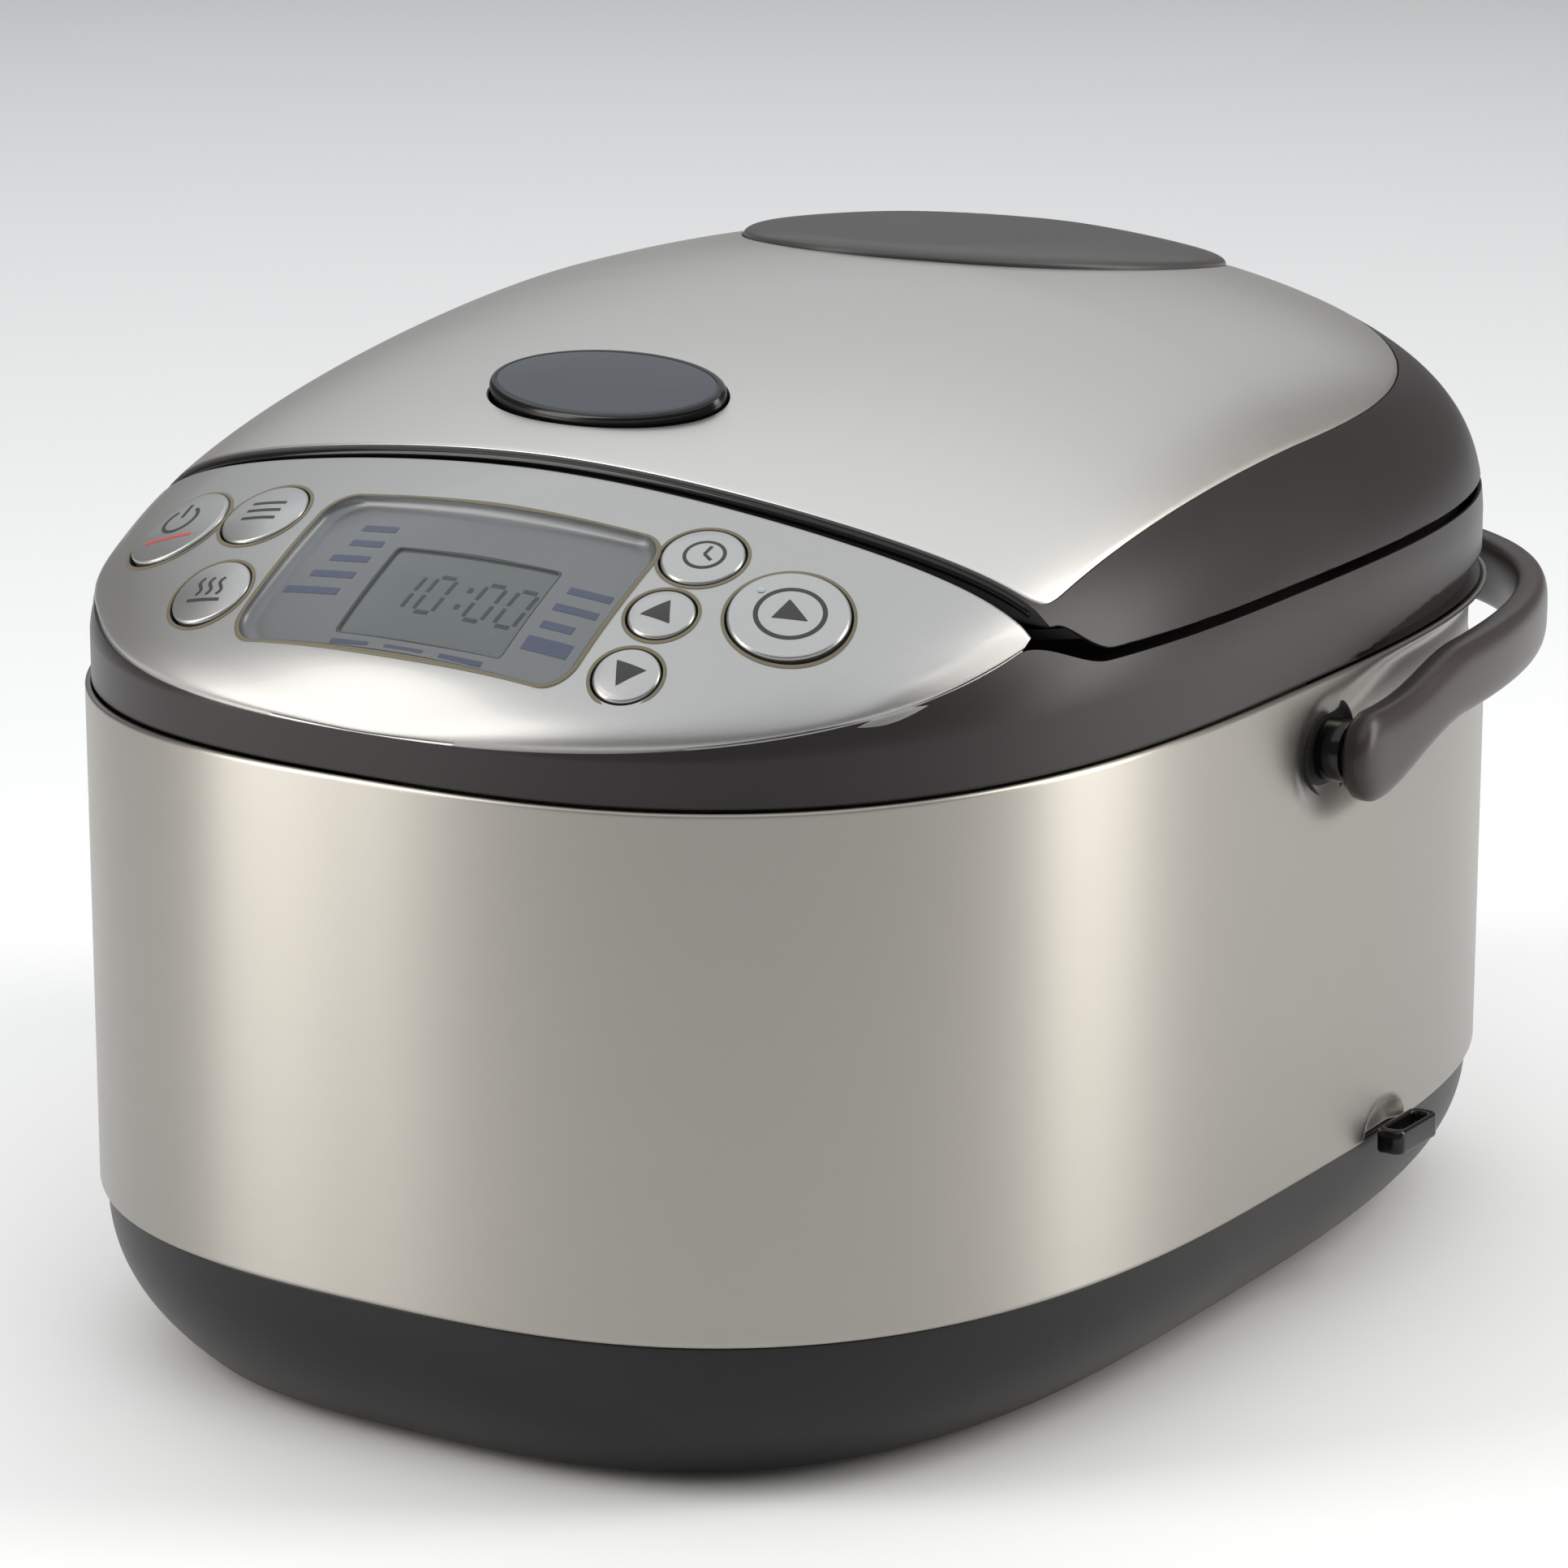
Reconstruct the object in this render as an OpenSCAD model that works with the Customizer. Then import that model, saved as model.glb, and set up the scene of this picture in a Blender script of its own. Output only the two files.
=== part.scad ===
// Rice cooker with a hinged domed lid, a sloping control panel and a swinging carrying handle.
// Millimetres, Z up. The front faces -Y and the origin lies on the worktop under the middle of the part.

/* [Body] */
// Width of the body between its two flat sides
body_w = 275; // [260:1:300]
// Distance from the centre of the plan to the front face
front_reach = 175; // [165:1:185]
// Distance from the centre of the plan to the rear face
rear_reach = 190; // [180:1:200]
// Roundness of the front corners, larger is squarer
front_n = 2.734; // [2.2:0.05:4]
// Roundness of the rear corners, larger is squarer
rear_n = 3.325; // [2.4:0.05:5]
// Height of the seam between the plastic base and the steel wrap
base_top = 39.5; // [34:0.5:46]
// Height of the top edge of the steel wrap
wrap_top = 160.8; // [150:0.2:170]
// Height of the rim that the lid closes onto
rim_z = 183.3; // [178:0.1:186]

/* [Lid] */
// Height of the crest of the lid
crest_z = 247.5; // [235:0.5:255]
// Distance of the crest behind the centre of the plan
crest_v = 32; // [20:1:50]
// Distance of the hinge axis behind the centre of the plan
hinge_v = 178; // [176:0.5:180]
// Height of the hinge axis
hinge_z = 194; // [193:0.5:196]
// Radius of the hinge pin
hinge_pin_r = 3; // [2:0.1:4]

/* [Pot] */
// Outside radius of the inner pot
pot_r = 106; // [100:1:108]
// Thickness of the inner pot
pot_t = 2; // [1.2:0.1:3]
// Height of the underside of the inner pot
pot_z = 56; // [54:0.5:60]

/* [Handle] */
// Height of the handle pivot
pivot_z = 142; // [136:0.5:146]
// Distance of the handle pivot behind the centre of the plan
pivot_v = 27; // [20:0.5:34]
// Thickness of the handle
handle_t = 8; // [6:0.5:10]
// Height of the handle band
handle_h = 18; // [14:0.5:22]
// Radius of the handle pivot pins
handle_pin_r = 4; // [3:0.1:5]

/* [Hidden] */
// points around the plan
N = 80;
half_w = body_w / 2;
// the plan is drawn forward of the origin so that the handle and the front face are equally far from it
plan_y = -16.5;
pot_y = plan_y + crest_v;
hinge_y = plan_y + hinge_v;
pivot_y = plan_y + pivot_v;
lid_s = 0.992;
band_s = 0.99;
deck_z = 181;
warm_grey = [0.27, 0.26, 0.26];
dark = [0.12, 0.12, 0.13];
steel = [0.76, 0.74, 0.70];
silver = [0.80, 0.80, 0.81];
green = [0.10, 0.35, 0.18];
brass = [0.80, 0.65, 0.30];

// ---- plan of the body: two half superellipses that share their widest line ----
function sg(v) = v < 0 ? -1 : 1;
function pw(v, p) = v <= 0 ? 0 : pow(v, p);
function lim(v) = min(max(v, 0), 1);
function smooth(v) = lim(v) * lim(v) * (3 - 2 * lim(v));
function plan_n(t) = sin(t) < 0 ? front_n : rear_n;
function plan_b(t) = sin(t) < 0 ? front_reach : rear_reach;
function plan(t, s) = [
    s * half_w * sg(cos(t)) * pw(abs(cos(t)), 2 / plan_n(t)),
    plan_y + s * plan_b(t) * sg(sin(t)) * pw(abs(sin(t)), 2 / plan_n(t))
];
function ring(s) = [for (i = [0 : N - 1]) plan(360 * i / N, s)];

// ---- the domed surface shared by the lid and the control panel, v is measured from the plan centre ----
function crest_front(v) = 171.4 + (crest_z - 171.4)
    * pw(1 - pow(lim((crest_v - v) / (crest_v + front_reach)), 1.621), 1 / 1.377);
function crest_rear(v) = 180 + (crest_z - 180)
    * pw(1 - pow(lim((v - crest_v) / (rear_reach - crest_v)), 2.2), 1 / 2.8);
function crest(v) = v < crest_v ? crest_front(v) : crest_rear(v);
function end_b(v) = lid_s * (v < 0 ? front_reach : rear_reach);
function end_n(v) = v < 0 ? front_n : rear_n;
function half_at(v) = max(lid_s * half_w * pw(1 - pow(lim(abs(v) / end_b(v)), end_n(v)), 1 / end_n(v)), 0.01);
function over(x, v, zc, e) = e + (zc - e) * pw(1 - pow(lim(abs(x) / half_at(v)), 1.872), 1 / 3.025);
function dome_v(x, v) = over(x, v, crest(v), min(167.67, crest(v)));
function dome(x, y) = dome_v(x, y - plan_y);
function slope_x(x, y) = (dome(x + 0.5, y) - dome(x - 0.5, y));
function slope_y(x, y) = (dome(x, y + 0.5) - dome(x, y - 0.5));

// ---- edges drawn on that surface ----
// rear edge of the control panel
function panel_up(x) = plan_y - 103 + 13 * pow(abs(x) / 122, 4);
// front edge of the control panel
function panel_low(x) = plan_y - 173 * pw(1 - pow(abs(x) / 129, 2.9), 1 / 2.9);
// front edge of the lid
function lid_front(x) = plan_y - 99 + 14 * pow(abs(x) / 121, 4);
// height of the lower edge of the lid, which lifts near the front tips
function lid_low(v) = rim_z + 2.2 + 9.5 * smooth((-70 - v) / 24);
// height of the top of the dark band
function band_front(x) = 168.6 + 22 * pow(min(abs(x), 127) / 127, 4.4);
function band_top(x, v) = v < -96.5 ? band_front(x) : rim_z + (band_front(127) - rim_z) * smooth((-72 - v) / 24.5);

// ---- builders ----
// wraps rings of equal length into one closed solid, with a fan to the middle of the first and last ring
function middle(r) = let (m = len(r)) [for (k = [0 : 2]) [for (p = r) p[k]] * [for (p = r) 1] / m];
module loft(rings) {
    m = len(rings[0]);
    k = len(rings);
    pts = concat([for (r = rings) for (p = r) p], [middle(rings[0]), middle(rings[k - 1])]);
    side = [for (j = [0 : k - 2]) for (i = [0 : m - 1]) each [
        [j * m + i, (j + 1) * m + i, (j + 1) * m + (i + 1) % m],
        [j * m + i, (j + 1) * m + (i + 1) % m, j * m + (i + 1) % m]
    ]];
    low = [for (i = [0 : m - 1]) [k * m, i, (i + 1) % m]];
    high = [for (i = [0 : m - 1]) [k * m + 1, (k - 1) * m + (i + 1) % m, (k - 1) * m + i]];
    polyhedron(points = pts, faces = concat(side, low, high), convexity = 8);
}
// the same, closed on itself with no caps
module loop_loft(rings) {
    m = len(rings[0]);
    k = len(rings);
    pts = [for (r = rings) for (p = r) p];
    side = [for (j = [0 : k - 1]) for (i = [0 : m - 1]) each [
        [j * m + i, ((j + 1) % k) * m + i, ((j + 1) % k) * m + (i + 1) % m],
        [j * m + i, ((j + 1) % k) * m + (i + 1) % m, j * m + (i + 1) % m]
    ]];
    polyhedron(points = pts, faces = side, convexity = 8);
}
// a flat plate with the plan of the body
module slab(s, z, h) {
    translate([0, 0, z]) linear_extrude(height = h) polygon(ring(s));
}
// an upright sheet that follows the plan of the body
module wall(s, t, z0, z1) {
    translate([0, 0, z0]) linear_extrude(height = z1 - z0) difference() {
        polygon(ring(s));
        polygon(ring(s - t / half_w));
    }
}
// puts its children on the domed surface at (x, y), their Z along the outward normal
module on_dome(x, y) {
    translate([x, y, dome(x, y)])
        rotate([0, 0, atan2(-slope_y(x, y), -slope_x(x, y))])
            rotate([0, atan(norm([slope_x(x, y), slope_y(x, y)])), 0])
                rotate([0, 0, -atan2(-slope_y(x, y), -slope_x(x, y))])
                    children();
}
// a coil spring standing on z = 0
module coil(r, wire, turns, h) {
    step = 14;
    n = turns * step;
    loft([for (j = [0 : n]) let (a = 360 * j / step) [
        for (i = [0 : 5]) [
            (r + wire * cos(60 * i)) * cos(a),
            (r + wire * cos(60 * i)) * sin(a),
            wire + (h - 2 * wire) * j / n + wire * sin(60 * i)
        ]
    ]]);
}
// a flat oval prism
module oval(cx, cy, a, b, z0, z1) {
    translate([cx, cy, z0]) linear_extrude(height = z1 - z0)
        polygon([for (i = [0 : 47]) [a * cos(7.5 * i), b * sin(7.5 * i)]]);
}
// a rectangle with round corners
module round_rect(w, d, r, h) {
    linear_extrude(height = h) union() {
        square([w - 2 * r, d], center = true);
        square([w, d - 2 * r], center = true);
        for (x = [-1, 1]) for (y = [-1, 1]) translate([x * (w / 2 - r), y * (d / 2 - r)]) circle(r = r, $fn = 32);
    }
}
module rod_x(r, x0, x1, y, z) {
    translate([x0, y, z]) rotate([0, 90, 0]) cylinder(r = r, h = x1 - x0, $fn = 48);
}

// ---- base ----
module base_shell() {
    outer = [[0.815, 3], [0.835, 4], [0.872, 8], [0.905, 14], [0.935, 21], [0.958, 28], [0.974, 34], [0.985, base_top]];
    color(dark) difference() {
        union() {
            loft(concat(
                [for (p = outer) [for (q = ring(p[0])) [q[0], q[1], p[1]]]],
                [for (i = [7 : -1 : 1]) [for (q = ring(outer[i][0] - 0.02)) [q[0], q[1], i == 7 ? base_top : outer[i][1] + 2]]]
            ));
            for (x = [-1, 1]) for (y = [-118, 92]) translate([x * 84, y, 3.5]) cylinder(r = 7, h = 10, $fn = 32);
        }
        for (x = [-1, 1]) for (y = [-118, 92]) translate([x * 84, y, 1]) cylinder(r = 1.6, h = 9, $fn = 24);
        for (i = [-4 : 4]) translate([i * 12, 60, 4]) cube([5, 40, 6], center = true);
        translate([126, plan_y + 52.6, 35.5]) cube([14, 18.8, 6]);
    }
}
module rubber_feet() {
    color([0.08, 0.08, 0.08]) for (x = [-1, 1]) for (y = [-140, 118]) translate([x * 62, y, 0]) {
        cylinder(r1 = 8.4, r2 = 9, h = 0.8, $fn = 48);
        translate([0, 0, 0.8]) cylinder(r = 9, h = 2.2, $fn = 48);
    }
}
module base_screws() {
    color(silver) for (x = [-1, 1]) for (y = [-118, 92]) translate([x * 84, y, 0.9]) {
        cylinder(r = 3.2, h = 2, $fn = 32);
        cylinder(r = 1.55, h = 8.5, $fn = 24);
    }
}
module spatula_holder() {
    color(dark) translate([0, plan_y + 62, 0]) difference() {
        union() {
            translate([137.3, -10.5, 35.4]) cube([7, 21, 6.2]);
            translate([129.5, -9, 35.8]) cube([8, 18, 3.5]);
        }
        translate([138.3, -7.5, 34]) cube([4.6, 15, 9]);
    }
}
module power_inlet() {
    color(dark) translate([0, plan_y + rear_reach, 66]) difference() {
        union() {
            translate([0, 2.05, 0]) rotate([90, 0, 0]) round_rect(46, 32, 5, 2);
            translate([0, 0.1, 0]) rotate([90, 0, 0]) round_rect(37, 23, 4, 26);
        }
        translate([0, 3, 0]) rotate([90, 0, 0]) round_rect(31, 17, 3, 22);
        for (x = [-9, 0, 9]) translate([x, -10, 0]) rotate([90, 0, 0]) cylinder(r = 2, h = 20, $fn = 24);
    }
}
module inlet_pins() {
    color(brass) for (x = [-9, 0, 9]) translate([x, plan_y + rear_reach - 5, 66]) rotate([90, 0, 0]) {
        cylinder(r = 1.98, h = 28, $fn = 24);
    }
}

// ---- outer walls ----
module steel_wrap() {
    color(steel) difference() {
        wall(1, 0.9, base_top, wrap_top);
        translate([0, plan_y + rear_reach, 66]) rotate([90, 0, 0]) translate([0, 0, -5]) round_rect(38, 24, 4, 20);
        for (x = [-1, 1]) rod_x(handle_pin_r + 0.5, x < 0 ? -145 : 125, x < 0 ? -125 : 145, pivot_y, pivot_z);
    }
}
module upper_frame() {
    color(warm_grey) loop_loft([
        [for (q = ring(band_s)) [q[0], q[1], wrap_top]],
        [for (q = ring(band_s)) [q[0], q[1], band_top(q[0], q[1] - plan_y)]],
        [for (q = ring(band_s)) [q[0] * 0.974, plan_y + (q[1] - plan_y) * 0.974, band_top(q[0], q[1] - plan_y)]],
        [for (q = ring(band_s)) [q[0] * 0.974, plan_y + (q[1] - plan_y) * 0.974, wrap_top]]
    ]);
}
module deck() {
    back = [for (i = [0 : 56]) plan(-27 + 234 * i / 56, 0.955)];
    front = [for (i = [0 : 24]) let (x = -119 + 238 * i / 24) [x, panel_up(x) - 4]];
    color(warm_grey) difference() {
        translate([0, 0, deck_z - 3]) linear_extrude(height = 3) polygon(concat(back, front));
        translate([0, pot_y, 170]) cylinder(r = pot_r + 2, h = 20, $fn = 96);
    }
}
module panel_carrier() {
    color(warm_grey) loft([for (i = [0 : 30]) let (x = -118 + 236 * i / 30, y = panel_up(x)) [
        [x, y - 4, deck_z],
        [x, y - 1.2, deck_z],
        [x, y - 1.2, max(dome(x, y - 1) - 3.2, deck_z + 1)],
        [x, y - 4, max(dome(x, y - 3) - 3.4, deck_z + 1)]
    ]]);
}
module latch_catch() {
    color(steel) translate([0, plan_y - 103.9, 197.6]) difference() {
        translate([-11, -0.2, -2]) cube([22, 3.2, 2.4]);
        translate([-12, 2.2, -2.1]) rotate([45, 0, 0]) cube([24, 2, 2]);
    }
}

// ---- electrical parts in the base ----
module pot_well() {
    color(steel) difference() {
        translate([0, pot_y, 0]) rotate_extrude($fn = 96) polygon([
            [16, 34], [96, 34], [pot_r + 4.6, 48], [pot_r + 4.6, 178], [pot_r + 3.6, 178], [pot_r + 3.6, 48.6],
            [95.6, 35.2], [16, 35.2]
        ]);
        for (i = [0 : 5]) translate([60 * cos(60 * i), pot_y + 60 * sin(60 * i), 30])
            cylinder(r = 3, h = 8, $fn = 24);
    }
}
module heater_plate() {
    color([0.70, 0.70, 0.71]) translate([0, pot_y, 0]) difference() {
        union() {
            rotate_extrude($fn = 96) polygon([[17, 46], [74, 46], [78, 49], [78, 52], [74, 55.6], [17, 55.6]]);
            for (i = [0 : 2]) rotate([0, 0, 120 * i + 30]) translate([60, 0, 35.3]) cylinder(r = 4, h = 12, $fn = 24);
        }
        translate([0, 0, 40]) rotate_extrude($fn = 72) translate([48, 8]) circle(r = 4, $fn = 24);
    }
}
module heater_tube() {
    color(steel) translate([0, pot_y, 48]) rotate_extrude($fn = 72) translate([48, 0]) circle(r = 3.9, $fn = 24);
}
module side_heater() {
    color([0.72, 0.70, 0.62]) translate([0, pot_y, 108]) difference() {
        cylinder(r = pot_r + 5.9, h = 40, $fn = 96);
        translate([0, 0, -1]) cylinder(r = pot_r + 4.7, h = 42, $fn = 96);
        translate([0, pot_r, 20]) cube([24, 30, 50], center = true);
    }
}
module thermal_fuse() {
    color([0.85, 0.82, 0.76]) rod_x(2.6, -12, 12, pot_y + 34, 38.2);
    color(silver) rod_x(0.6, -26, 26, pot_y + 34, 38.2);
}
module sensor_cup() {
    color(silver) translate([0, pot_y, 0]) rotate_extrude($fn = 64) polygon([
        [0, 54.2], [13, 54.2], [13, 45], [14, 44], [14.6, 45], [14.6, 54.4], [13.4, 55.6], [0, 55.6]
    ]);
}
module sensor_spring() {
    color(steel) translate([0, pot_y, 35.6]) coil(9, 0.7, 5, 18);
}
module sensor_seat() {
    color(warm_grey) translate([0, pot_y, 0]) difference() {
        translate([0, 0, 31.4]) cylinder(r = 22, h = 2.5, $fn = 48);
        translate([0, 0, 30]) cylinder(r = 4, h = 8, $fn = 32);
    }
    color(warm_grey) translate([0, pot_y, 0]) difference() {
        translate([0, 0, 33.8]) cylinder(r = 12, h = 1.6, $fn = 48);
        translate([0, 0, 30]) cylinder(r = 4, h = 8, $fn = 32);
    }
}
module power_board() {
    color(green) translate([-70, plan_y - 132, 44]) difference() {
        cube([140, 1.6, 78]);
        for (x = [6, 134]) for (z = [6, 72]) translate([x, -1, z]) rotate([-90, 0, 0]) cylinder(r = 1.8, h = 4, $fn = 24);
    }
}
module relay() {
    color([0.15, 0.30, 0.60]) translate([-58, plan_y - 148.4, 84]) cube([20, 16, 26]);
    color(brass) for (x = [-54, -42]) translate([x, plan_y - 132.5, 96]) rotate([-90, 0, 0]) cylinder(r = 0.6, h = 3.4);
}
module transformer() {
    color([0.35, 0.34, 0.33]) translate([-14, plan_y - 158.4, 60]) difference() {
        cube([36, 26, 30]);
        translate([7, -1, 6]) cube([22, 18, 18]);
    }
    color([0.75, 0.45, 0.20]) translate([4, plan_y - 149, 66.1]) cylinder(r = 7.5, h = 17.8, $fn = 48);
}
module capacitors() {
    color([0.10, 0.12, 0.22]) for (z = [62, 82, 102]) translate([46, plan_y - 132.1, z]) rotate([90, 0, 0]) {
        cylinder(r = 6.3, h = 17, $fn = 40);
        translate([0, 0, 16.9]) cylinder(r1 = 6, r2 = 5.4, h = 0.6, $fn = 40);
    }
}
module board_screws() {
    color(silver) for (x = [-64, 64]) for (z = [50, 116]) translate([x, plan_y - 134.1, z]) rotate([-90, 0, 0]) {
        cylinder(r = 3, h = 2, $fn = 32);
        cylinder(r = 1.75, h = 9, $fn = 24);
    }
}

// ---- inner pot ----
module inner_pot() {
    rr = 26;
    out = [for (i = [0 : 8]) [pot_r - rr + rr * sin(11.25 * i), pot_z + rr - rr * cos(11.25 * i)]];
    in = [for (i = [8 : -1 : 0]) let (q = rr - pot_t) [pot_r - rr + q * sin(11.25 * i), pot_z + rr - q * cos(11.25 * i)]];
    color([0.42, 0.42, 0.43]) translate([0, pot_y, 0]) rotate_extrude($fn = 96) polygon(concat(
        [[0, pot_z]], out,
        [[pot_r, deck_z], [pot_r + 9.2, deck_z], [pot_r + 10, deck_z + 0.8], [pot_r + 10, deck_z + 1.2],
         [pot_r + 9.2, deck_z + 2], [pot_r - 0.5, deck_z + 2], [pot_r - pot_t, deck_z]],
        in, [[0, pot_z + pot_t]]
    ));
}

// ---- control panel ----
// name, x, v, radius of each push button
buttons = [[-86, -125, 13], [-61.5, -124.5, 10.8], [-58.5, -149, 10], [55, -119.5, 9.5], [56, -137.5, 7.6],
    [57.5, -153.5, 7.6], [81.5, -126, 13.6]];
module window_shape(w, d, r) {
    translate([0, plan_y - 139.5]) linear_extrude(height = 90) union() {
        square([w - 2 * r, d], center = true);
        square([w, d - 2 * r], center = true);
        for (x = [-1, 1]) for (y = [-1, 1]) translate([x * (w / 2 - r), y * (d / 2 - r)]) circle(r = r, $fn = 32);
    }
}
// a thin plate that follows the domed surface between two heights above it
function span(x, a, b, k, m, h) = let (y = a + (b - a) * k / m) [x, y, dome(x, y) + h];
module panel_sheet(w, top, bot) {
    loft([for (i = [0 : 44]) let (x = w * sin(-90 + 180 * i / 44), a = panel_low(x), b = panel_up(x)) concat(
        [for (k = [0 : 8]) span(x, a, b, k, 8, bot)],
        [for (k = [8 : -1 : 0]) span(x, a, b, k, 8, top)]
    )]);
}
module box_sheet(w, y0, y1, top, bot, n) {
    loft([for (i = [0 : n]) let (x = -w + 2 * w * i / n) concat(
        [for (k = [0 : 5]) span(x, y0, y1, k, 5, bot)],
        [for (k = [5 : -1 : 0]) span(x, y0, y1, k, 5, top)]
    )]);
}
module control_panel() {
    color(silver) difference() {
        panel_sheet(121.6, 0, -2.2);
        translate([0, 0, 150]) window_shape(90, 43, 7);
        for (b = buttons) on_dome(b[0], plan_y + b[1]) translate([0, 0, -9]) cylinder(r = b[2] + 0.5, h = 14, $fn = 48);
    }
}
module display_window() {
    color([0.55, 0.58, 0.60, 0.6]) intersection() {
        box_sheet(48, plan_y - 163, plan_y - 116, 0.2, -1.4, 12);
        translate([0, 0, 150]) window_shape(89.2, 42.2, 6.6);
    }
}
module display_backing() {
    color(silver) difference() {
        box_sheet(48, plan_y - 163, plan_y - 116, -2.7, -3.5, 12);
        on_dome(5, plan_y - 146) translate([-21, -12, -8]) cube([42, 24, 12]);
        on_dome(55, plan_y - 119.5) translate([0, 0, -9]) cylinder(r = 10.3, h = 14, $fn = 48);
    }
}
module lcd_module() {
    color([0.45, 0.50, 0.48]) on_dome(5, plan_y - 146) translate([-20.5, -11.5, -6.5]) cube([41, 23, 3]);
}
// the point d under the domed surface at (x, y), measured square to it
function below(x, y, d) = [x, y, dome(x, y)] - d * [-slope_x(x, y), -slope_y(x, y), 1] / norm([slope_x(x, y), slope_y(x, y), 1]);
module key_board() {
    color(green) loft([for (i = [0 : 24]) let (x = -98 + 196 * i / 24, a = panel_low(x) + 12, b = plan_y - 115) concat(
        [for (k = [0 : 5]) below(x, a + (b - a) * k / 5, 14.6)],
        [for (k = [5 : -1 : 0]) below(x, a + (b - a) * k / 5, 13.1)]
    )]);
}
module tact_switches() {
    color(dark) for (b = buttons) on_dome(b[0], plan_y + b[1]) {
        translate([-3, -3, -12.9]) cube([6, 6, 3.6]);
        translate([0, 0, -9.4]) cylinder(r = 1.6, h = 1.7, $fn = 24);
    }
}
module button(i) {
    r = buttons[i][2];
    color(silver) on_dome(buttons[i][0], plan_y + buttons[i][1]) {
        translate([0, 0, -6]) cylinder(r = r, h = 6.8, $fn = 48);
        translate([0, 0, 0.8]) cylinder(r1 = r, r2 = r - 0.8, h = 0.5, $fn = 48);
        translate([0, 0, 1.3]) cylinder(r1 = r - 0.8, r2 = r - 4, h = 0.5, $fn = 48);
    }
}
module button_cancel() { button(0); }
module button_menu() { button(1); }
module button_warm() { button(2); }
module button_timer() { button(3); }
module button_up() { button(4); }
module button_down() { button(5); }
module button_start() { button(6); }

// ---- carrying handle ----
function arch(t) = [146 * sg(cos(t)) * pw(abs(cos(t)), 2 / rear_n), 204 * pw(sin(t), 2 / rear_n)];
function arch_z(v) = pivot_z + 8.5 * smooth((v - pivot_v) / 48);
module handle() {
    n = 64;
    color(warm_grey) difference() {
        union() {
            loft([for (i = [0 : n]) let (
                t = 1.99 + 176.02 * i / n, p = arch(t), q = arch(min(t + 0.6, 178.6)), o = arch(max(t - 0.6, 1.4)),
                d = [q[0] - o[0], q[1] - o[1]] / norm([q[0] - o[0], q[1] - o[1]]), m = [d[1], -d[0]],
                z = arch_z(p[1]), h = handle_h / 2, w = handle_t / 2
            ) [for (c = [[w - 2, -h], [2 - w, -h], [-w, 3 - h], [-w, h - 3], [2 - w, h], [w - 2, h], [w, h - 3], [w, 3 - h]])
                [p[0] + m[0] * c[0], plan_y + p[1] + m[1] * c[0], z + c[1]]
            ]]);
            for (x = [-1, 1]) rod_x(handle_h / 2 + 2, x < 0 ? -150 : 142, x < 0 ? -142 : 150, pivot_y, pivot_z);
        }
        for (x = [-1, 1]) rod_x(handle_pin_r + 0.05, x < 0 ? -152 : 140, x < 0 ? -140 : 152, pivot_y, pivot_z);
    }
}
module handle_pins() {
    color(steel) for (x = [-1, 1]) {
        rod_x(handle_pin_r, x < 0 ? -149.4 : 131, x < 0 ? -131 : 149.4, pivot_y, pivot_z);
        rod_x(7.5, x < 0 ? -133.4 : 130.4, x < 0 ? -130.4 : 133.4, pivot_y, pivot_z);
        rod_x(7.5, x < 0 ? -141.4 : 137.9, x < 0 ? -137.9 : 141.4, pivot_y, pivot_z);
    }
}

// ---- hinge ----
module hinge_bracket() {
    color(warm_grey) difference() {
        union() for (x = [-66, 52]) {
            rod_x(8, x, x + 14, hinge_y, hinge_z);
            translate([x, hinge_y - 8, deck_z]) cube([14, 6.4, hinge_z - deck_z]);
        }
        rod_x(hinge_pin_r - 0.02, -70, 70, hinge_y, hinge_z);
    }
}
module hinge_pin() {
    color(steel) rod_x(hinge_pin_r - 0.02, -66, 66, hinge_y, hinge_z);
}
module hinge_spring() {
    color(steel) translate([-30, hinge_y, hinge_z]) rotate([0, 90, 0]) coil(4.8, 0.8, 16, 60);
}
module hinge_cover() {
    color(warm_grey) translate([-32, hinge_y, hinge_z]) rotate([90, 0, 90]) linear_extrude(height = 64) difference() {
        polygon(concat([for (i = [0 : 16]) [9.6 * cos(-90 + 10 * i), 9.6 * sin(-90 + 10 * i)]],
            [for (i = [16 : -1 : 0]) [7.8 * cos(-90 + 10 * i), 7.8 * sin(-90 + 10 * i)]]));
    }
    color(warm_grey) translate([-30, hinge_y - 1, deck_z]) cube([60, 3, hinge_z - 8.4 - deck_z]);
}

// ---- lid ----
lid_c = [0, plan_y + 20];
lid_edge = concat(
    [for (i = [0 : 25]) let (x = -121 + 242 * i / 26) [x, lid_front(x)]],
    [[121, lid_front(121)]],
    [for (i = [0 : 68]) plan(-22.4 + 224.8 * i / 68, lid_s)]
);
function toward(q, f) = [lid_c[0] + f * (q[0] - lid_c[0]), lid_c[1] + f * (q[1] - lid_c[1])];
function lid_top(p) = max(dome(p[0], p[1]), lid_low(p[1] - plan_y) + 0.6);
function lid_bot(p, f) = max(dome(p[0], p[1]) - (f < 0.9 ? 5.4 : 3.2), lid_low(p[1] - plan_y) + 0.3);
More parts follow.
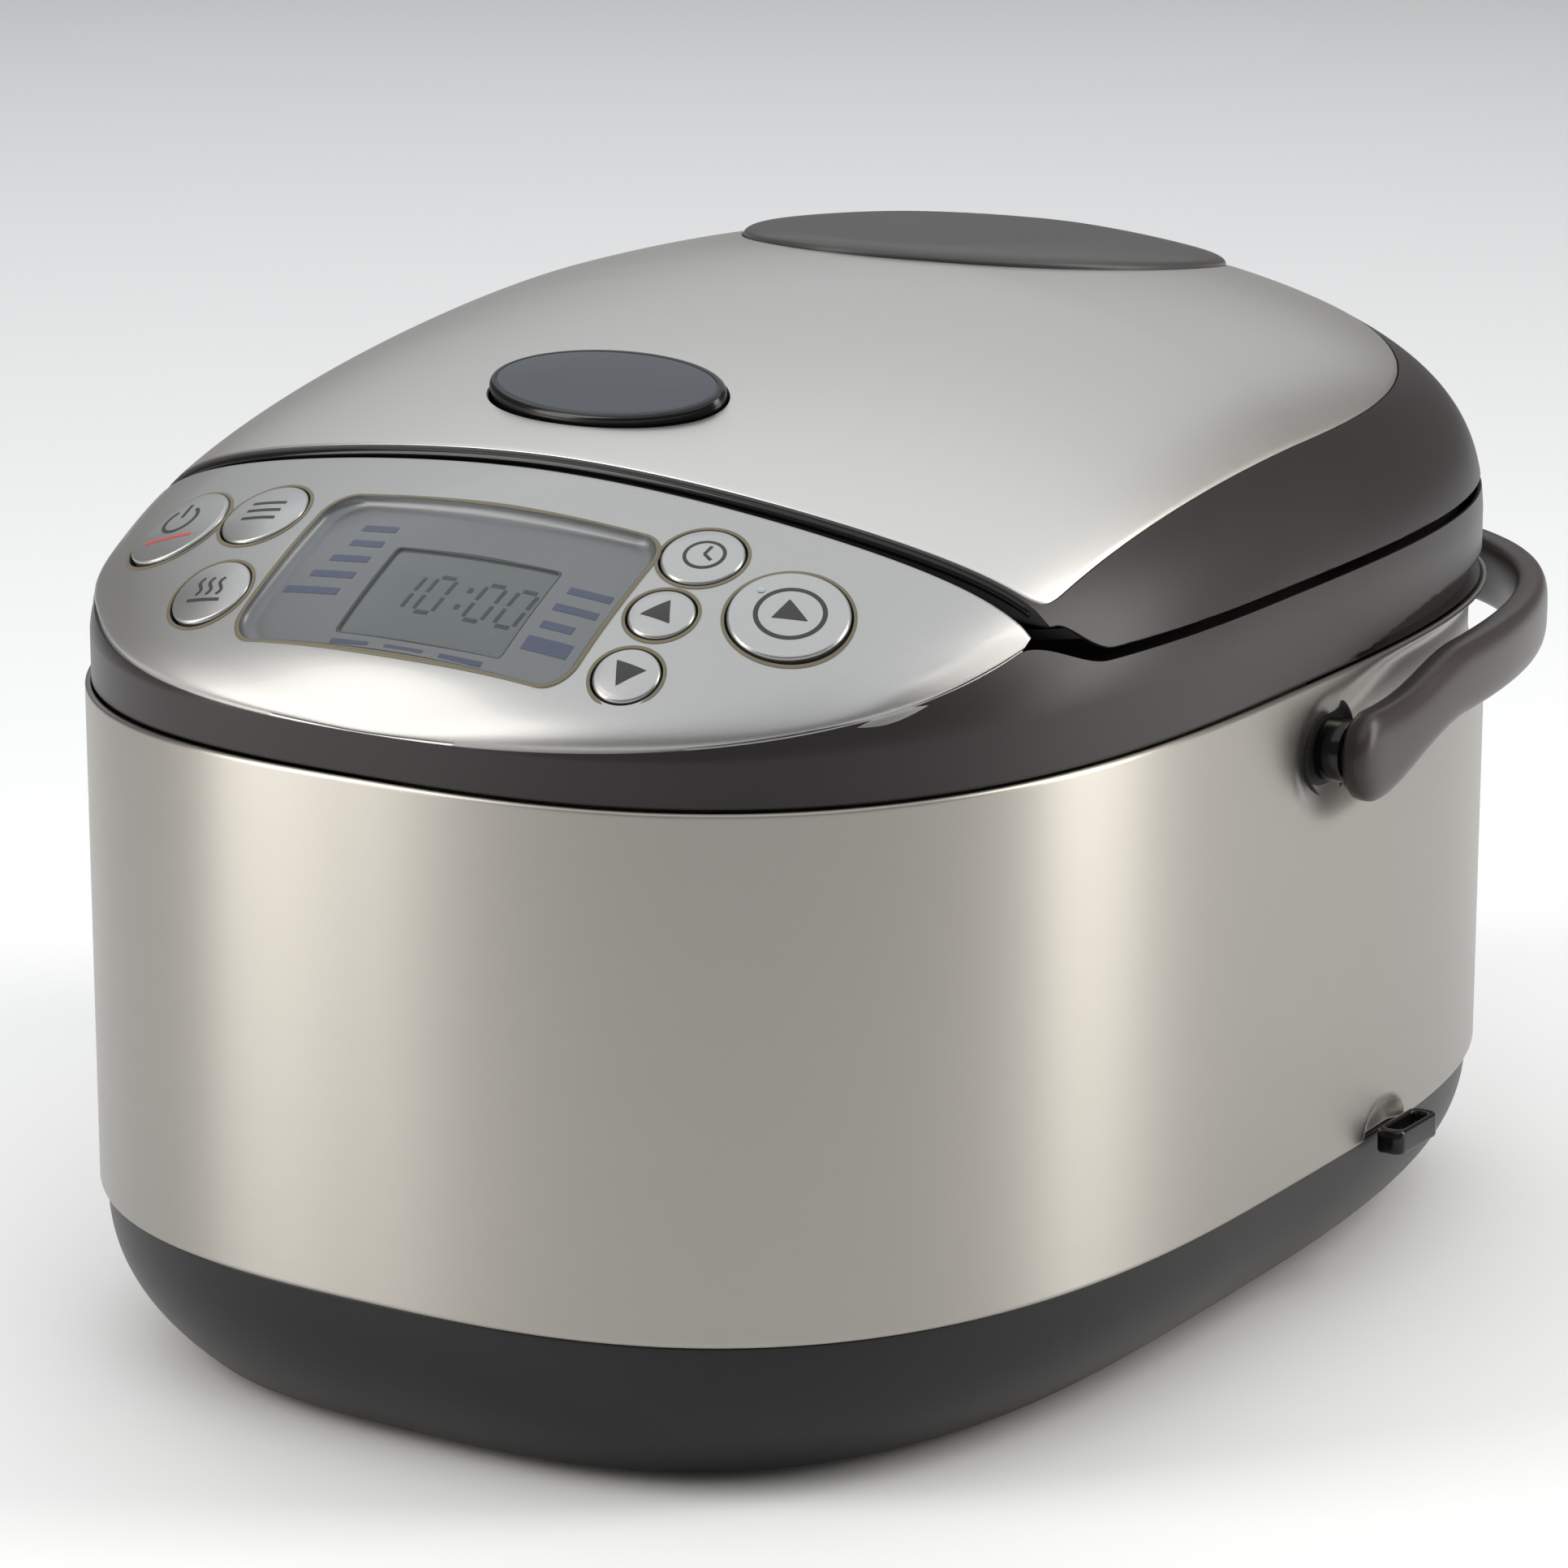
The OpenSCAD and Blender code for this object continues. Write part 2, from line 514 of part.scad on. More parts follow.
// the space above a shallow recess in the lid: an outline swept from d below the dome to well above it
module recess(edge, c, d) {
    fs = [1, 0.97, 0.92, 0.84, 0.72, 0.58, 0.4, 0.2, 0.04];
    function part(q, f) = [c[0] + f * (q[0] - c[0]), c[1] + f * (q[1] - c[1])];
    loft(concat(
        [for (i = [8 : -1 : 0]) [for (q = edge) let (a = part(q, fs[i])) [a[0], a[1], dome(a[0], a[1]) - d]]],
        [for (f = fs) [for (q = edge) let (a = part(q, f)) [a[0], a[1], dome(a[0], a[1]) + 6]]]
    ));
}
vent_edge = [for (j = [0 : 59]) [57.8 * cos(6 * j), plan_y + 95 + 70.3 * sin(6 * j)]];
module lid_shell() {
    fs = [1, 0.998, 0.99, 0.975, 0.95, 0.91, 0.85, 0.76, 0.64, 0.5, 0.34, 0.16, 0.04];
    gs = [0.04, 0.2, 0.4, 0.6, 0.76, 0.88, 0.95, 0.985, 1];
    color(warm_grey) difference() {
        loft(concat(
            [for (f = gs) [for (q = lid_edge) let (a = toward(q, f), b = toward(q, f * 0.972)) [b[0], b[1], lid_bot(a, f)]]],
            [[for (q = lid_edge) let (b = toward(q, 0.972)) [b[0], b[1], lid_low(q[1] - plan_y)]]],
            [[for (q = lid_edge) [q[0], q[1], lid_low(q[1] - plan_y)]]],
            [for (f = fs) [for (q = lid_edge) let (a = toward(q, f)) [a[0], a[1], lid_top(a)]]]
        ));
        recess(plate_edge, lid_c, 0.8);
        recess(vent_edge, [0, plan_y + 95], 2.6);
        rod_x(11.5, -70, 70, hinge_y, hinge_z);
        translate([-70, hinge_y - 11.5, hinge_z - 20]) cube([140, 40, 20]);
        translate([0, plan_y + 95, 200]) cylinder(r = 21, h = 60, $fn = 48);
        on_dome(0, plan_y - 68) oval(-4, -1.5, 32, 17.4, -12, 8);
    }
}
plate_edge = concat(
    [for (i = [0 : 26]) let (x = -120 + 240 * i / 26) [x, lid_front(x) + 0.8]],
    [for (i = [0 : 6]) let (v = -80 + 70 * i / 6) [123 - 2 * pow((-10 - v) / 75, 2), plan_y + v]],
    [for (i = [1 : 39]) let (t = 4.5 * i) [123 * sg(cos(t)) * pw(abs(cos(t)), 2 / 3.6), plan_y - 10 + 160 * pw(sin(t), 2 / 3.6)]],
    [for (i = [6 : -1 : 0]) let (v = -80 + 70 * i / 6) [-123 + 2 * pow((-10 - v) / 75, 2), plan_y + v]]
);
module lid_plate() {
    fs = [1, 0.97, 0.92, 0.84, 0.72, 0.58, 0.4, 0.2, 0.04];
    k = len(fs);
    color(steel) difference() {
        loft(concat(
            [for (i = [k - 1 : -1 : 0]) [for (q = plate_edge) let (a = toward(q, fs[i]))
                [a[0], a[1], dome(a[0], a[1]) - 0.7]
            ]],
            [for (f = fs) [for (q = plate_edge) let (a = toward(q, f * 0.9985)) [a[0], a[1], dome(a[0], a[1]) + 0.1]]]
        ));
        oval(0, plan_y + 95, 57.9, 70.4, 200, 262);
        on_dome(0, plan_y - 68) oval(-4, -1.5, 32, 17.4, -12, 8);
    }
}
module lid_liner() {
    back = [for (i = [0 : 56]) plan(-18 + 216 * i / 56, 0.935)];
    color(warm_grey) difference() {
        union() {
            difference() {
                translate([0, 0, 187]) linear_extrude(height = 2.4) polygon(concat(
                    back, [for (i = [0 : 20]) let (x = -112 + 224 * i / 20) [x, lid_front(x) + 9]]));
                translate([-90, hinge_y - 10, 180]) cube([180, 40, 12]);
            }
            for (x = [-1, 1]) on_dome(x * 18, plan_y - 68) translate([0, 0, -38]) cylinder(r = 6.5, h = 15, $fn = 32);
            for (x = [-12.5, 9.5]) translate([x, plan_y - 72, 189]) cube([3, 8, 17.5]);
            for (x = [-50, 34]) {
                translate([x, hinge_y - 22, 187.6]) cube([16, 22, 6.4]);
                rod_x(6.5, x, x + 16, hinge_y, hinge_z);
            }
        }
        translate([-13, plan_y - 100, 180]) cube([26, 16, 14]);
        translate([0, plan_y + 95, 180]) cylinder(r = 16, h = 12, $fn = 48);
        translate([0, pot_y, 180]) cylinder(r = 4.2, h = 12, $fn = 32);
        rod_x(hinge_pin_r + 0.03, -60, 60, hinge_y, hinge_z);
        rod_x(1.5, -14, 14, plan_y - 68, 203);
    }
}
module inner_lid() {
    color([0.78, 0.78, 0.79]) difference() {
        translate([0, pot_y, 0]) rotate_extrude($fn = 96) polygon([
            [3.6, 185.8], [60, 185.8], [100, 185], [110.9, 185], [110.9, 185.8], [100.2, 185.8], [60, 186.6], [3.6, 186.6]
        ]);
        for (i = [0 : 11]) translate([40 * cos(30 * i), pot_y + 40 * sin(30 * i), 180]) cylinder(r = 2, h = 10, $fn = 24);
        translate([0, plan_y + 95, 180]) cylinder(r = 9, h = 10, $fn = 48);
    }
}
module inner_lid_gasket() {
    color([0.86, 0.86, 0.84]) translate([0, pot_y, 0]) rotate_extrude($fn = 96) polygon([
        [111, 184.6], [112.4, 183.5], [114, 183.5], [115.6, 184.8], [115.6, 186.9], [111, 186.9]
    ]);
}
module inner_lid_knob() {
    color(dark) translate([0, pot_y, 0]) rotate_extrude($fn = 48) polygon([
        [0, 181.5], [8, 181.5], [9.5, 183], [9.5, 184.6], [8.5, 185.6], [3.5, 185.6], [3.5, 190.5], [0, 190.5]
    ]);
}
module lid_heater() {
    color([0.72, 0.70, 0.62]) translate([0, pot_y - 14, 189.5]) difference() {
        cylinder(r = 52, h = 0.8, $fn = 96);
        translate([0, 0, -1]) cylinder(r = 36, h = 3, $fn = 96);
        translate([-30, -70, -1]) cube([60, 32, 3]);
    }
}
module steam_duct() {
    color(warm_grey) translate([0, plan_y + 95, 0]) rotate_extrude($fn = 64) polygon([
        [16.1, 189.5], [22, 189.5], [22, 191], [18, 191], [18, 226], [16.1, 226]
    ]);
}
module vent_gasket() {
    color([0.86, 0.86, 0.84]) translate([0, plan_y + 95, 0]) rotate_extrude($fn = 64)
        polygon([[18.05, 219], [19.2, 219], [19.2, 223], [18.05, 223]]);
}
function cap_pt(t, f) = [57.2 * f * cos(t), plan_y + 95 + 69.7 * f * sin(t)];
function dish(p) = let (u = p[0] / 36, w = (p[1] - plan_y - 79) / 47, r = norm([u, w])) r < 1 ? 2.6 * pow(1 - r * r, 1.3) : 0;
function cap_top(p, f) = dome(p[0], p[1]) + 2 * pw(1 - pow(f, 14), 0.5) - dish(p);
module vent_cap() {
    fs = [1, 0.99, 0.96, 0.9, 0.8, 0.68, 0.55, 0.42, 0.3, 0.18, 0.04];
    k = len(fs);
    color(dark) difference() {
        union() {
            loft(concat(
                [for (i = [k - 1 : -1 : 0]) [for (j = [0 : 59]) let (a = cap_pt(6 * j, fs[i]))
                    [a[0], a[1], dome(a[0], a[1]) - 2.4]
                ]],
                [for (f = fs) [for (j = [0 : 59]) let (a = cap_pt(6 * j, f)) [a[0], a[1], cap_top(a, f) + 0.3]]]
            ));
            translate([0, plan_y + 95, 222]) cylinder(r = 20.5, h = 20, $fn = 64);
        }
        translate([0, plan_y + 95, 221]) cylinder(r = 19.5, h = 20.2, $fn = 64);
        // steam leaves through a flat passage towards the rear and five slots in the top
        translate([-14, 0, 0]) rotate([90, 0, 90]) linear_extrude(height = 28) polygon(concat(
            [[plan_y + 100, 236]],
            [for (i = [0 : 3]) let (v = 112 + 12 * i) [plan_y + v, dome_v(0, v) - 1.5]],
            [for (i = [3 : -1 : 0]) let (v = 112 + 12 * i) [plan_y + v, dome_v(0, v) + 0.7]],
            [[plan_y + 100, 243]]
        ));
        for (i = [-2 : 2]) translate([i * 5.4 - 1.1, plan_y + 133, 232]) cube([2.2, 14, 20]);
    }
}
module lid_button() {
    color(warm_grey) on_dome(0, plan_y - 68) {
        oval(-4, -1.5, 31.2, 16.6, -7, 1.8);
        translate([-4, -1.5, 1.8]) linear_extrude(height = 0.8) polygon([for (i = [0 : 47]) [30 * cos(7.5 * i), 15.4 * sin(7.5 * i)]]);
        translate([0, -12, -17]) cylinder(r = 2.6, h = 12, $fn = 32);
    }
}
module lid_button_springs() {
    color(steel) for (x = [-1, 1]) on_dome(x * 18, plan_y - 68) translate([0, 0, -22.6]) coil(4.4, 0.5, 5, 14);
}
module latch_hook() {
    color(steel) difference() {
        union() {
            rod_x(4, -8.5, 8.5, plan_y - 68, 203);
            translate([-8.5, plan_y - 95.4, 200]) cube([17, 27.4, 4]);
            translate([-8.5, plan_y - 95.4, 191.4]) cube([17, 2.4, 10]);
            translate([-8.5, plan_y - 100.8, 191.4]) cube([17, 6, 2.4]);
        }
        rod_x(1.55, -14, 14, plan_y - 68, 203);
    }
}
module latch_pin() {
    color(silver) rod_x(1.48, -13.5, 13.5, plan_y - 68, 203);
}

// ---- assembly ----
// which node to draw, or all of them
base_shell();
rubber_feet();
base_screws();
spatula_holder();
power_inlet();
inlet_pins();
steel_wrap();
upper_frame();
deck();
panel_carrier();
latch_catch();
pot_well();
heater_plate();
heater_tube();
side_heater();
thermal_fuse();
sensor_cup();
sensor_spring();
sensor_seat();
power_board();
relay();
transformer();
capacitors();
board_screws();
inner_pot();
control_panel();
display_window();
display_backing();
lcd_module();
key_board();
tact_switches();
button_cancel();
button_menu();
button_warm();
button_timer();
button_up();
button_down();
button_start();
handle();
handle_pins();
hinge_bracket();
hinge_pin();
hinge_spring();
hinge_cover();
lid_shell();
lid_plate();
lid_liner();
inner_lid();
inner_lid_gasket();
inner_lid_knob();
lid_heater();
steam_duct();
vent_gasket();
vent_cap();
lid_button();
lid_button_springs();
latch_hook();
latch_pin();
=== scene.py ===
# %% [markdown]
# A rice cooker is a deep pot in a metal-wrapped body, shut by a domed lid. Its working parts come
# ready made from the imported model. This script adds the surfaces that are seen, each one a formula
# worked out with numpy, and gives every part a finish built from shader nodes.

import math

import bmesh
import bpy
import numpy as np
from mathutils import Matrix


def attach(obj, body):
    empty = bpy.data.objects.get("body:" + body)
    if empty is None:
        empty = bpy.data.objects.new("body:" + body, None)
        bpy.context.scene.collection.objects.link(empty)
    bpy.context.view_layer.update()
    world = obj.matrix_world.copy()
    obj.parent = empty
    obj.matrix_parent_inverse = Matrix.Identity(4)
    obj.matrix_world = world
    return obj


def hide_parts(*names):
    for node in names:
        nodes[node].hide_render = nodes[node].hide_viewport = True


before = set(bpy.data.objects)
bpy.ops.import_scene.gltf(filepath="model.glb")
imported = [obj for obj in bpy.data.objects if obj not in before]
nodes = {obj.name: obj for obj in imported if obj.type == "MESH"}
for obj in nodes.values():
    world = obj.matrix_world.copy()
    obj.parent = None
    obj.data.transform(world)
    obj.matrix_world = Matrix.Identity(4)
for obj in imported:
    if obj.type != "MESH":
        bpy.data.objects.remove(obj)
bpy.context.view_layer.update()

# %% [markdown]
# Every outer part of the cooker follows one plan, the outline seen from above. It is two half
# superellipses, a rounder one for the front and a squarer one for the back, that meet on the widest
# line. One formula for the plan keeps all the seams parallel, which drawing each part by hand wouldn't.
# Sizes are in millimetres here and become metres when a mesh is made.

# %% The plan of the body
HALF, FRONT, REAR = 137.5, 175.0, 190.0
FRONT_N, REAR_N = 2.734, 3.325
PLAN_Y = -16.5
MM = 0.001


def plan_points(t):
    """Half-width times |cos t| to the power 2/n, and reach times |sin t| to the power 2/n, signs kept."""
    c, s = np.cos(t), np.sin(t)
    n = np.where(s < 0, FRONT_N, REAR_N)
    b = np.where(s < 0, FRONT, REAR)
    x = HALF * np.sign(c) * np.abs(c) ** (2 / n)
    v = b * np.sign(s) * np.abs(s) ** (2 / n)
    return np.stack([x, v], -1)


def even_steps(curve, count, closed=True):
    """Walks along a dense curve and returns points at equal steps of length."""
    if closed:
        curve = np.vstack([curve, curve[:1]])
    gap = np.hypot(*np.diff(curve, axis=0).T)
    along = np.concatenate([[0], np.cumsum(gap)])
    where = np.linspace(0, along[-1], count + 1)[:-1] if closed else np.linspace(0, along[-1], count)
    return np.stack([np.interp(where, along, curve[:, k]) for k in range(2)], -1)


def outward(curve):
    """The unit normal of a closed counter-clockwise curve: its tangent turned a quarter to the right."""
    d = np.roll(curve, -1, 0) - np.roll(curve, 1, 0)
    d /= np.linalg.norm(d, axis=1, keepdims=True)
    return np.stack([d[:, 1], -d[:, 0]], -1)


AROUND = 640
plan = even_steps(plan_points(np.linspace(0, 2 * math.pi, 40001)[:-1]), AROUND)
plan_out = outward(plan)
print("plan", plan.min(0), plan.max(0))

# %% [markdown]
# The lid and the control panel share one domed surface. Its crest is a curve from front to back, and
# each cross-section falls from the crest to the sides along a superellipse. Because both parts ask the
# same function for their height, the lid runs on into the panel as it does on the real cooker.

# %% The dome
CREST_V, CREST_Z = 32.0, 247.5


def crest(v):
    """Height of the ridge: one power curve down to the front edge and a rounder one down to the back."""
    f = np.clip((CREST_V - v) / (CREST_V + FRONT), 0, 1)
    r = np.clip((v - CREST_V) / (REAR - CREST_V), 0, 1)
    front = 171.4 + (CREST_Z - 171.4) * (1 - f**1.621) ** (1 / 1.377)
    rear = 180.0 + (CREST_Z - 180.0) * (1 - r**2.2) ** (1 / 2.8)
    return np.where(v < CREST_V, front, rear)


def dome(x, v):
    """Height at (x, v): the crest there, lowered towards the side by (1 - |x/a|^1.872)^(1/3.025)."""
    b = 0.992 * np.where(v < 0, FRONT, REAR)
    n = np.where(v < 0, FRONT_N, REAR_N)
    a = np.maximum(0.992 * HALF * np.clip(1 - np.clip(np.abs(v) / b, 0, 1) ** n, 0, 1) ** (1 / n), 0.01)
    top = crest(v)
    edge = np.minimum(167.67, top)
    return edge + (top - edge) * np.clip(1 - np.clip(np.abs(x) / a, 0, 1) ** 1.872, 0, 1) ** (1 / 3.025)


def dome_normal(x, v):
    """Unit normal of the dome, from the height differences over one millimetre."""
    sx = dome(x + 0.5, v) - dome(x - 0.5, v)
    sy = dome(x, v + 0.5) - dome(x, v - 0.5)
    n = np.stack([-sx, -sy, np.ones_like(sx)], -1)
    return n / np.linalg.norm(n, axis=-1, keepdims=True)


def on_dome(x, v, h=0.0):
    """Points lifted by h from the dome along its normal, as (x, v, z)."""
    x, v = np.broadcast_arrays(np.asarray(x, float), np.asarray(v, float))
    base = np.stack([x, v, dome(x, v)], -1)
    return base + dome_normal(x, v) * np.asarray(h, float)[..., None]


def panel_up(x):
    return -103 + 13 * (np.abs(x) / 122) ** 4


TIP_X = 121.6


def panel_low(x):
    bulge = 4.6 * np.exp(-(((np.abs(x) - 113) / 11) ** 2))
    return -173 * np.clip(1 - (np.abs(x) / 129) ** 2.9, 0, 1) ** (1 / 2.9) - bulge


def lid_front(x):
    return -99 + 14 * (np.abs(x) / 121) ** 4


def smooth(u):
    u = np.clip(u, 0, 1)
    return u * u * (3 - 2 * u)


RIM = 183.3


def lid_low(v):
    """Lower edge of the lid: level at the sides and back, lifting in an S towards the front tips."""
    return RIM + 2.2 + 9.5 * smooth((-70 - v) / 24)


print("crest heights", np.round(crest(np.array([-170.0, -100.0, 0.0, 100.0, 180.0])), 1))

# %% [markdown]
# Most parts are grids of points: rows follow a profile and columns go round or across. One helper turns
# such grids into meshes, closes seams, turns the faces outwards and puts the finished piece on the body
# that it moves with.

# %% Mesh helpers
scene = bpy.context.scene


def grid_faces(rows, cols, close_rows=False, close_cols=False, start=0):
    """Quads between neighbouring rows and columns of a grid, with optional wrap-around."""
    i, j = np.meshgrid(
        np.arange(rows if close_rows else rows - 1), np.arange(cols if close_cols else cols - 1), indexing="ij"
    )
    a, b = i * cols + j, i * cols + (j + 1) % cols
    c, d = ((i + 1) % rows) * cols + (j + 1) % cols, ((i + 1) % rows) * cols + j
    return (np.stack([a, b, c, d], -1).reshape(-1, 4) + start).tolist()


def fan(ring, centre):
    """Triangles from a closed ring of point numbers to one middle point."""
    return [[int(ring[k]), int(ring[(k + 1) % len(ring)]), int(centre)] for k in range(len(ring))]


def shell(grid, close_rows=False, close_cols=True, cap_first=False, cap_last=False):
    """Points and faces of a (rows, columns, 3) grid, with fans over the first and last row if wanted."""
    rows, cols = grid.shape[:2]
    pts = grid.reshape(-1, 3)
    faces = grid_faces(rows, cols, close_rows, close_cols)
    if cap_first:
        pts = np.vstack([pts, grid[0].mean(0)])
        faces += fan(range(cols), len(pts) - 1)
    if cap_last:
        pts = np.vstack([pts, grid[-1].mean(0)])
        faces += fan(range((rows - 1) * cols, rows * cols), len(pts) - 1)
    return pts, faces


def join(*parts):
    """Several (points, faces) pairs as one."""
    pts, faces, start = [], [], 0
    for p, f in parts:
        pts.append(p)
        faces += [[i + start for i in face] for face in f]
        start += len(p)
    return np.vstack(pts), faces


def piece(name, part, body, finish, stands_for=(), sharp=35.0, up=False):
    """Makes the mesh. Points come as (x, v, z) in mm and are stored in metres in the frame of the model."""
    pts, faces = part
    xyz = np.array(pts, float)
    xyz[:, 1] += PLAN_Y
    mesh = bpy.data.meshes.new(name)
    mesh.from_pydata((xyz * MM).tolist(), [], faces)
    bm = bmesh.new()
    bm.from_mesh(mesh)
    bmesh.ops.remove_doubles(bm, verts=bm.verts, dist=2e-6)
    bmesh.ops.recalc_face_normals(bm, faces=bm.faces)
    if up and sum(f.normal.z * f.calc_area() for f in bm.faces) < 0:
        bmesh.ops.reverse_faces(bm, faces=bm.faces)
    bm.to_mesh(mesh)
    bm.free()
    mesh.shade_smooth()
    mesh.set_sharp_from_angle(angle=math.radians(sharp))
    mesh.materials.append(finish)
    obj = bpy.data.objects.new(name, mesh)
    scene.collection.objects.link(obj)
    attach(obj, body)
    if stands_for:
        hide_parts(*([stands_for] if isinstance(stands_for, str) else stands_for))
    print(name, len(mesh.polygons), "faces")
    return obj


# %% [markdown]
# Finishes are node trees. A small class wraps a socket, so that shader maths reads like ordinary sums,
# and one method adds any other node. Patterns read Object coordinates, which are metres on these parts.

# %% Shader helpers
class Wire:
    """A socket that can be added to, multiplied and so on. Each sum becomes a Math node."""

    def __init__(self, sheet, socket):
        self.sheet, self.socket = sheet, socket

    def _sum(self, kind, a, b=None):
        values = {0: a} if b is None else {0: a, 1: b}
        return self.sheet.add("ShaderNodeMath", {"operation": kind}, values)

    def __add__(self, o): return self._sum("ADD", self, o)
    def __radd__(self, o): return self._sum("ADD", o, self)
    def __sub__(self, o): return self._sum("SUBTRACT", self, o)
    def __rsub__(self, o): return self._sum("SUBTRACT", o, self)
    def __mul__(self, o): return self._sum("MULTIPLY", self, o)
    def __rmul__(self, o): return self._sum("MULTIPLY", o, self)
    def __truediv__(self, o): return self._sum("DIVIDE", self, o)
    def __rtruediv__(self, o): return self._sum("DIVIDE", o, self)
    def __pow__(self, o): return self._sum("POWER", self, o)
    def __gt__(self, o): return self._sum("GREATER_THAN", self, o)
    def __lt__(self, o): return self._sum("LESS_THAN", self, o)

    def clamp(self):
        return self.sheet.add("ShaderNodeClamp", {}, {0: self})


class Sheet:
    """One material, with helpers that add nodes to it."""

    def __init__(self, name):
        self.mat = bpy.data.materials.new(name)
        self.mat.use_nodes = True
        self.tree = self.mat.node_tree
        self.skin = self.tree.nodes["Principled BSDF"]

    def add(self, kind, settings=None, values=None, out=0):
        """Adds a node, sets its settings, then its sockets, and returns one of its outputs."""
        node = self.tree.nodes.new(kind)
        for key, value in (settings or {}).items():
            if key == "stops":
                ramp = node.color_ramp
                while len(ramp.elements) < len(value):
                    ramp.elements.new(0.5)
                for element, (place, colour) in zip(ramp.elements, value):
                    element.position, element.color = place, colour
            else:
                setattr(node, key, value)
        for key, value in (values or {}).items():
            self.feed(node.inputs[key], value)
        return Wire(self, node.outputs[out])

    def feed(self, socket, value):
        if isinstance(value, Wire):
            self.tree.links.new(value.socket, socket)
        else:
            socket.default_value = value

    def place(self, scale=(1, 1, 1), turn=(0, 0, 0), move=(0, 0, 0)):
        spot = self.add("ShaderNodeTexCoord", {}, {}, "Object")
        return self.add(
            "ShaderNodeMapping", {}, {"Vector": spot, "Scale": scale, "Rotation": turn, "Location": move}
        )

    def noise(self, scale, where=None, detail=2.0, rough=0.5):
        return self.add(
            "ShaderNodeTexNoise",
            {},
            {"Vector": where or self.place(), "Scale": scale, "Detail": detail, "Roughness": rough},
            0,
        )

    def mix(self, factor, a, b):
        """A colour between a and b."""
        return self.add("ShaderNodeMix", {"data_type": "RGBA"}, {0: factor, 6: a, 7: b}, 2)

    def bump(self, height, depth, strength=1.0):
        return self.add("ShaderNodeBump", {}, {"Height": height, "Distance": depth, "Strength": strength})

    def set(self, **values):
        for key, value in values.items():
            self.feed(self.skin.inputs[key.replace("_", " ")], value)
        return self.mat


def rgb(r, g, b):
    """An sRGB colour from 0 to 255 as linear light."""
    c = [((u / 255 + 0.055) / 1.055) ** 2.4 if u > 10 else u / 255 / 12.92 for u in (r, g, b)]
    return (*c, 1.0)


# %% [markdown]
# The wrap and the lid plate are stainless steel, brushed in long fine lines and slightly warm in colour.
# Brushing is a noise that is stretched a hundredfold along the lines: it tints the metal a little, varies
# its roughness and lifts a very shallow bump. The Anisotropic setting smears highlights across the lines.

# %% Brushed steel
def scaled(colour, factor):
    """A colour made darker or lighter."""
    return tuple(min(c * factor, 1) for c in colour[:3]) + (1,)


def brushed(name, tint, streak, rough, aniso=0.5, depth=0.00001, turn=0.25, band=0.02):
    s = Sheet(name)
    lines = s.noise(1.0, s.place(streak), 3.0, 0.6)
    broad = s.noise(9.0, None, 2.0)
    shade = (lines - 0.5) * 0.16 + (broad - 0.5) * band * 4 + 0.5
    colour = s.mix(shade.clamp(), scaled(tint, 0.86), scaled(tint, 1.12))
    return s.set(
        Base_Color=colour,
        Metallic=1.0,
        Roughness=(rough + (lines - 0.5) * 0.12 + (broad - 0.5) * 0.05),
        Anisotropic=aniso,
        Anisotropic_Rotation=turn,
        Normal=s.bump(lines, depth),
    )


STEEL_TINT = (0.385, 0.368, 0.338, 1.0)
wrap_steel = brushed("wrap_steel", STEEL_TINT, (9, 9, 4200), 0.36, 0.8, 0.000003)
plate_steel = brushed("plate_steel", (0.55, 0.535, 0.51, 1.0), (7, 3800, 60), 0.36, 0.1, 0.000003, 0.0)
part_steel = brushed("part_steel", (0.58, 0.58, 0.58, 1.0), (40, 900, 900), 0.34, 0.2)

# %% [markdown]
# Most of the rest is moulded plastic with a fine spark-eroded grain. The grain is a cell noise of about a
# third of a millimetre in the bump, and a slow noise varies the sheen.

# %% Moulded plastics
def moulded(name, colour, rough, grain=0.000012, size=2600.0, coat=0.0, sheen=0.06):
    s = Sheet(name)
    fine = s.noise(size, None, 2.0, 0.6)
    slow = s.noise(14.0, None, 3.0)
    dark, light = scaled(colour, 1 - sheen * 2), scaled(colour, 1 + sheen * 2)
    return s.set(
        Base_Color=s.mix((slow * 0.7 + fine * 0.3).clamp(), dark, light),
        Roughness=(rough + (slow - 0.5) * 0.12 + (fine - 0.5) * 0.06),
        Coat_Weight=coat,
        Specular_IOR_Level=0.32,
        Normal=s.bump(fine, grain),
    )


grey_satin = moulded("grey_satin", rgb(40, 37, 37), 0.34)
dark_satin = moulded("dark_satin", rgb(24, 22, 23), 0.38)
gloss_black = moulded("gloss_black", rgb(16, 15, 15), 0.16, 0.000002)
vent_grey = moulded("vent_grey", rgb(66, 64, 63), 0.36)
button_grey = moulded("button_grey", rgb(58, 62, 69), 0.30, 0.000006)
handle_grey = moulded("handle_grey", rgb(54, 48, 45), 0.32)
# A near-black matte finish for the insides of holes, slots and hollows: painted shade, standing in for the dark
# that these recesses fall into.
painted_gap_shade = moulded("painted_gap_shade", rgb(22, 21, 20), 0.6)
foot_rubber = moulded("foot_rubber", rgb(30, 30, 30), 0.75, 0.00003, 1500.0)
silicone = moulded("silicone", rgb(214, 214, 208), 0.45, 0.00001, 900.0)

# %% [markdown]
# The panel and the keys are plastic with silver paint. Flakes in the paint are tiny mirrors, each tilted
# a little, so a cell noise of a tenth of a millimetre nudges colour, roughness and bump.

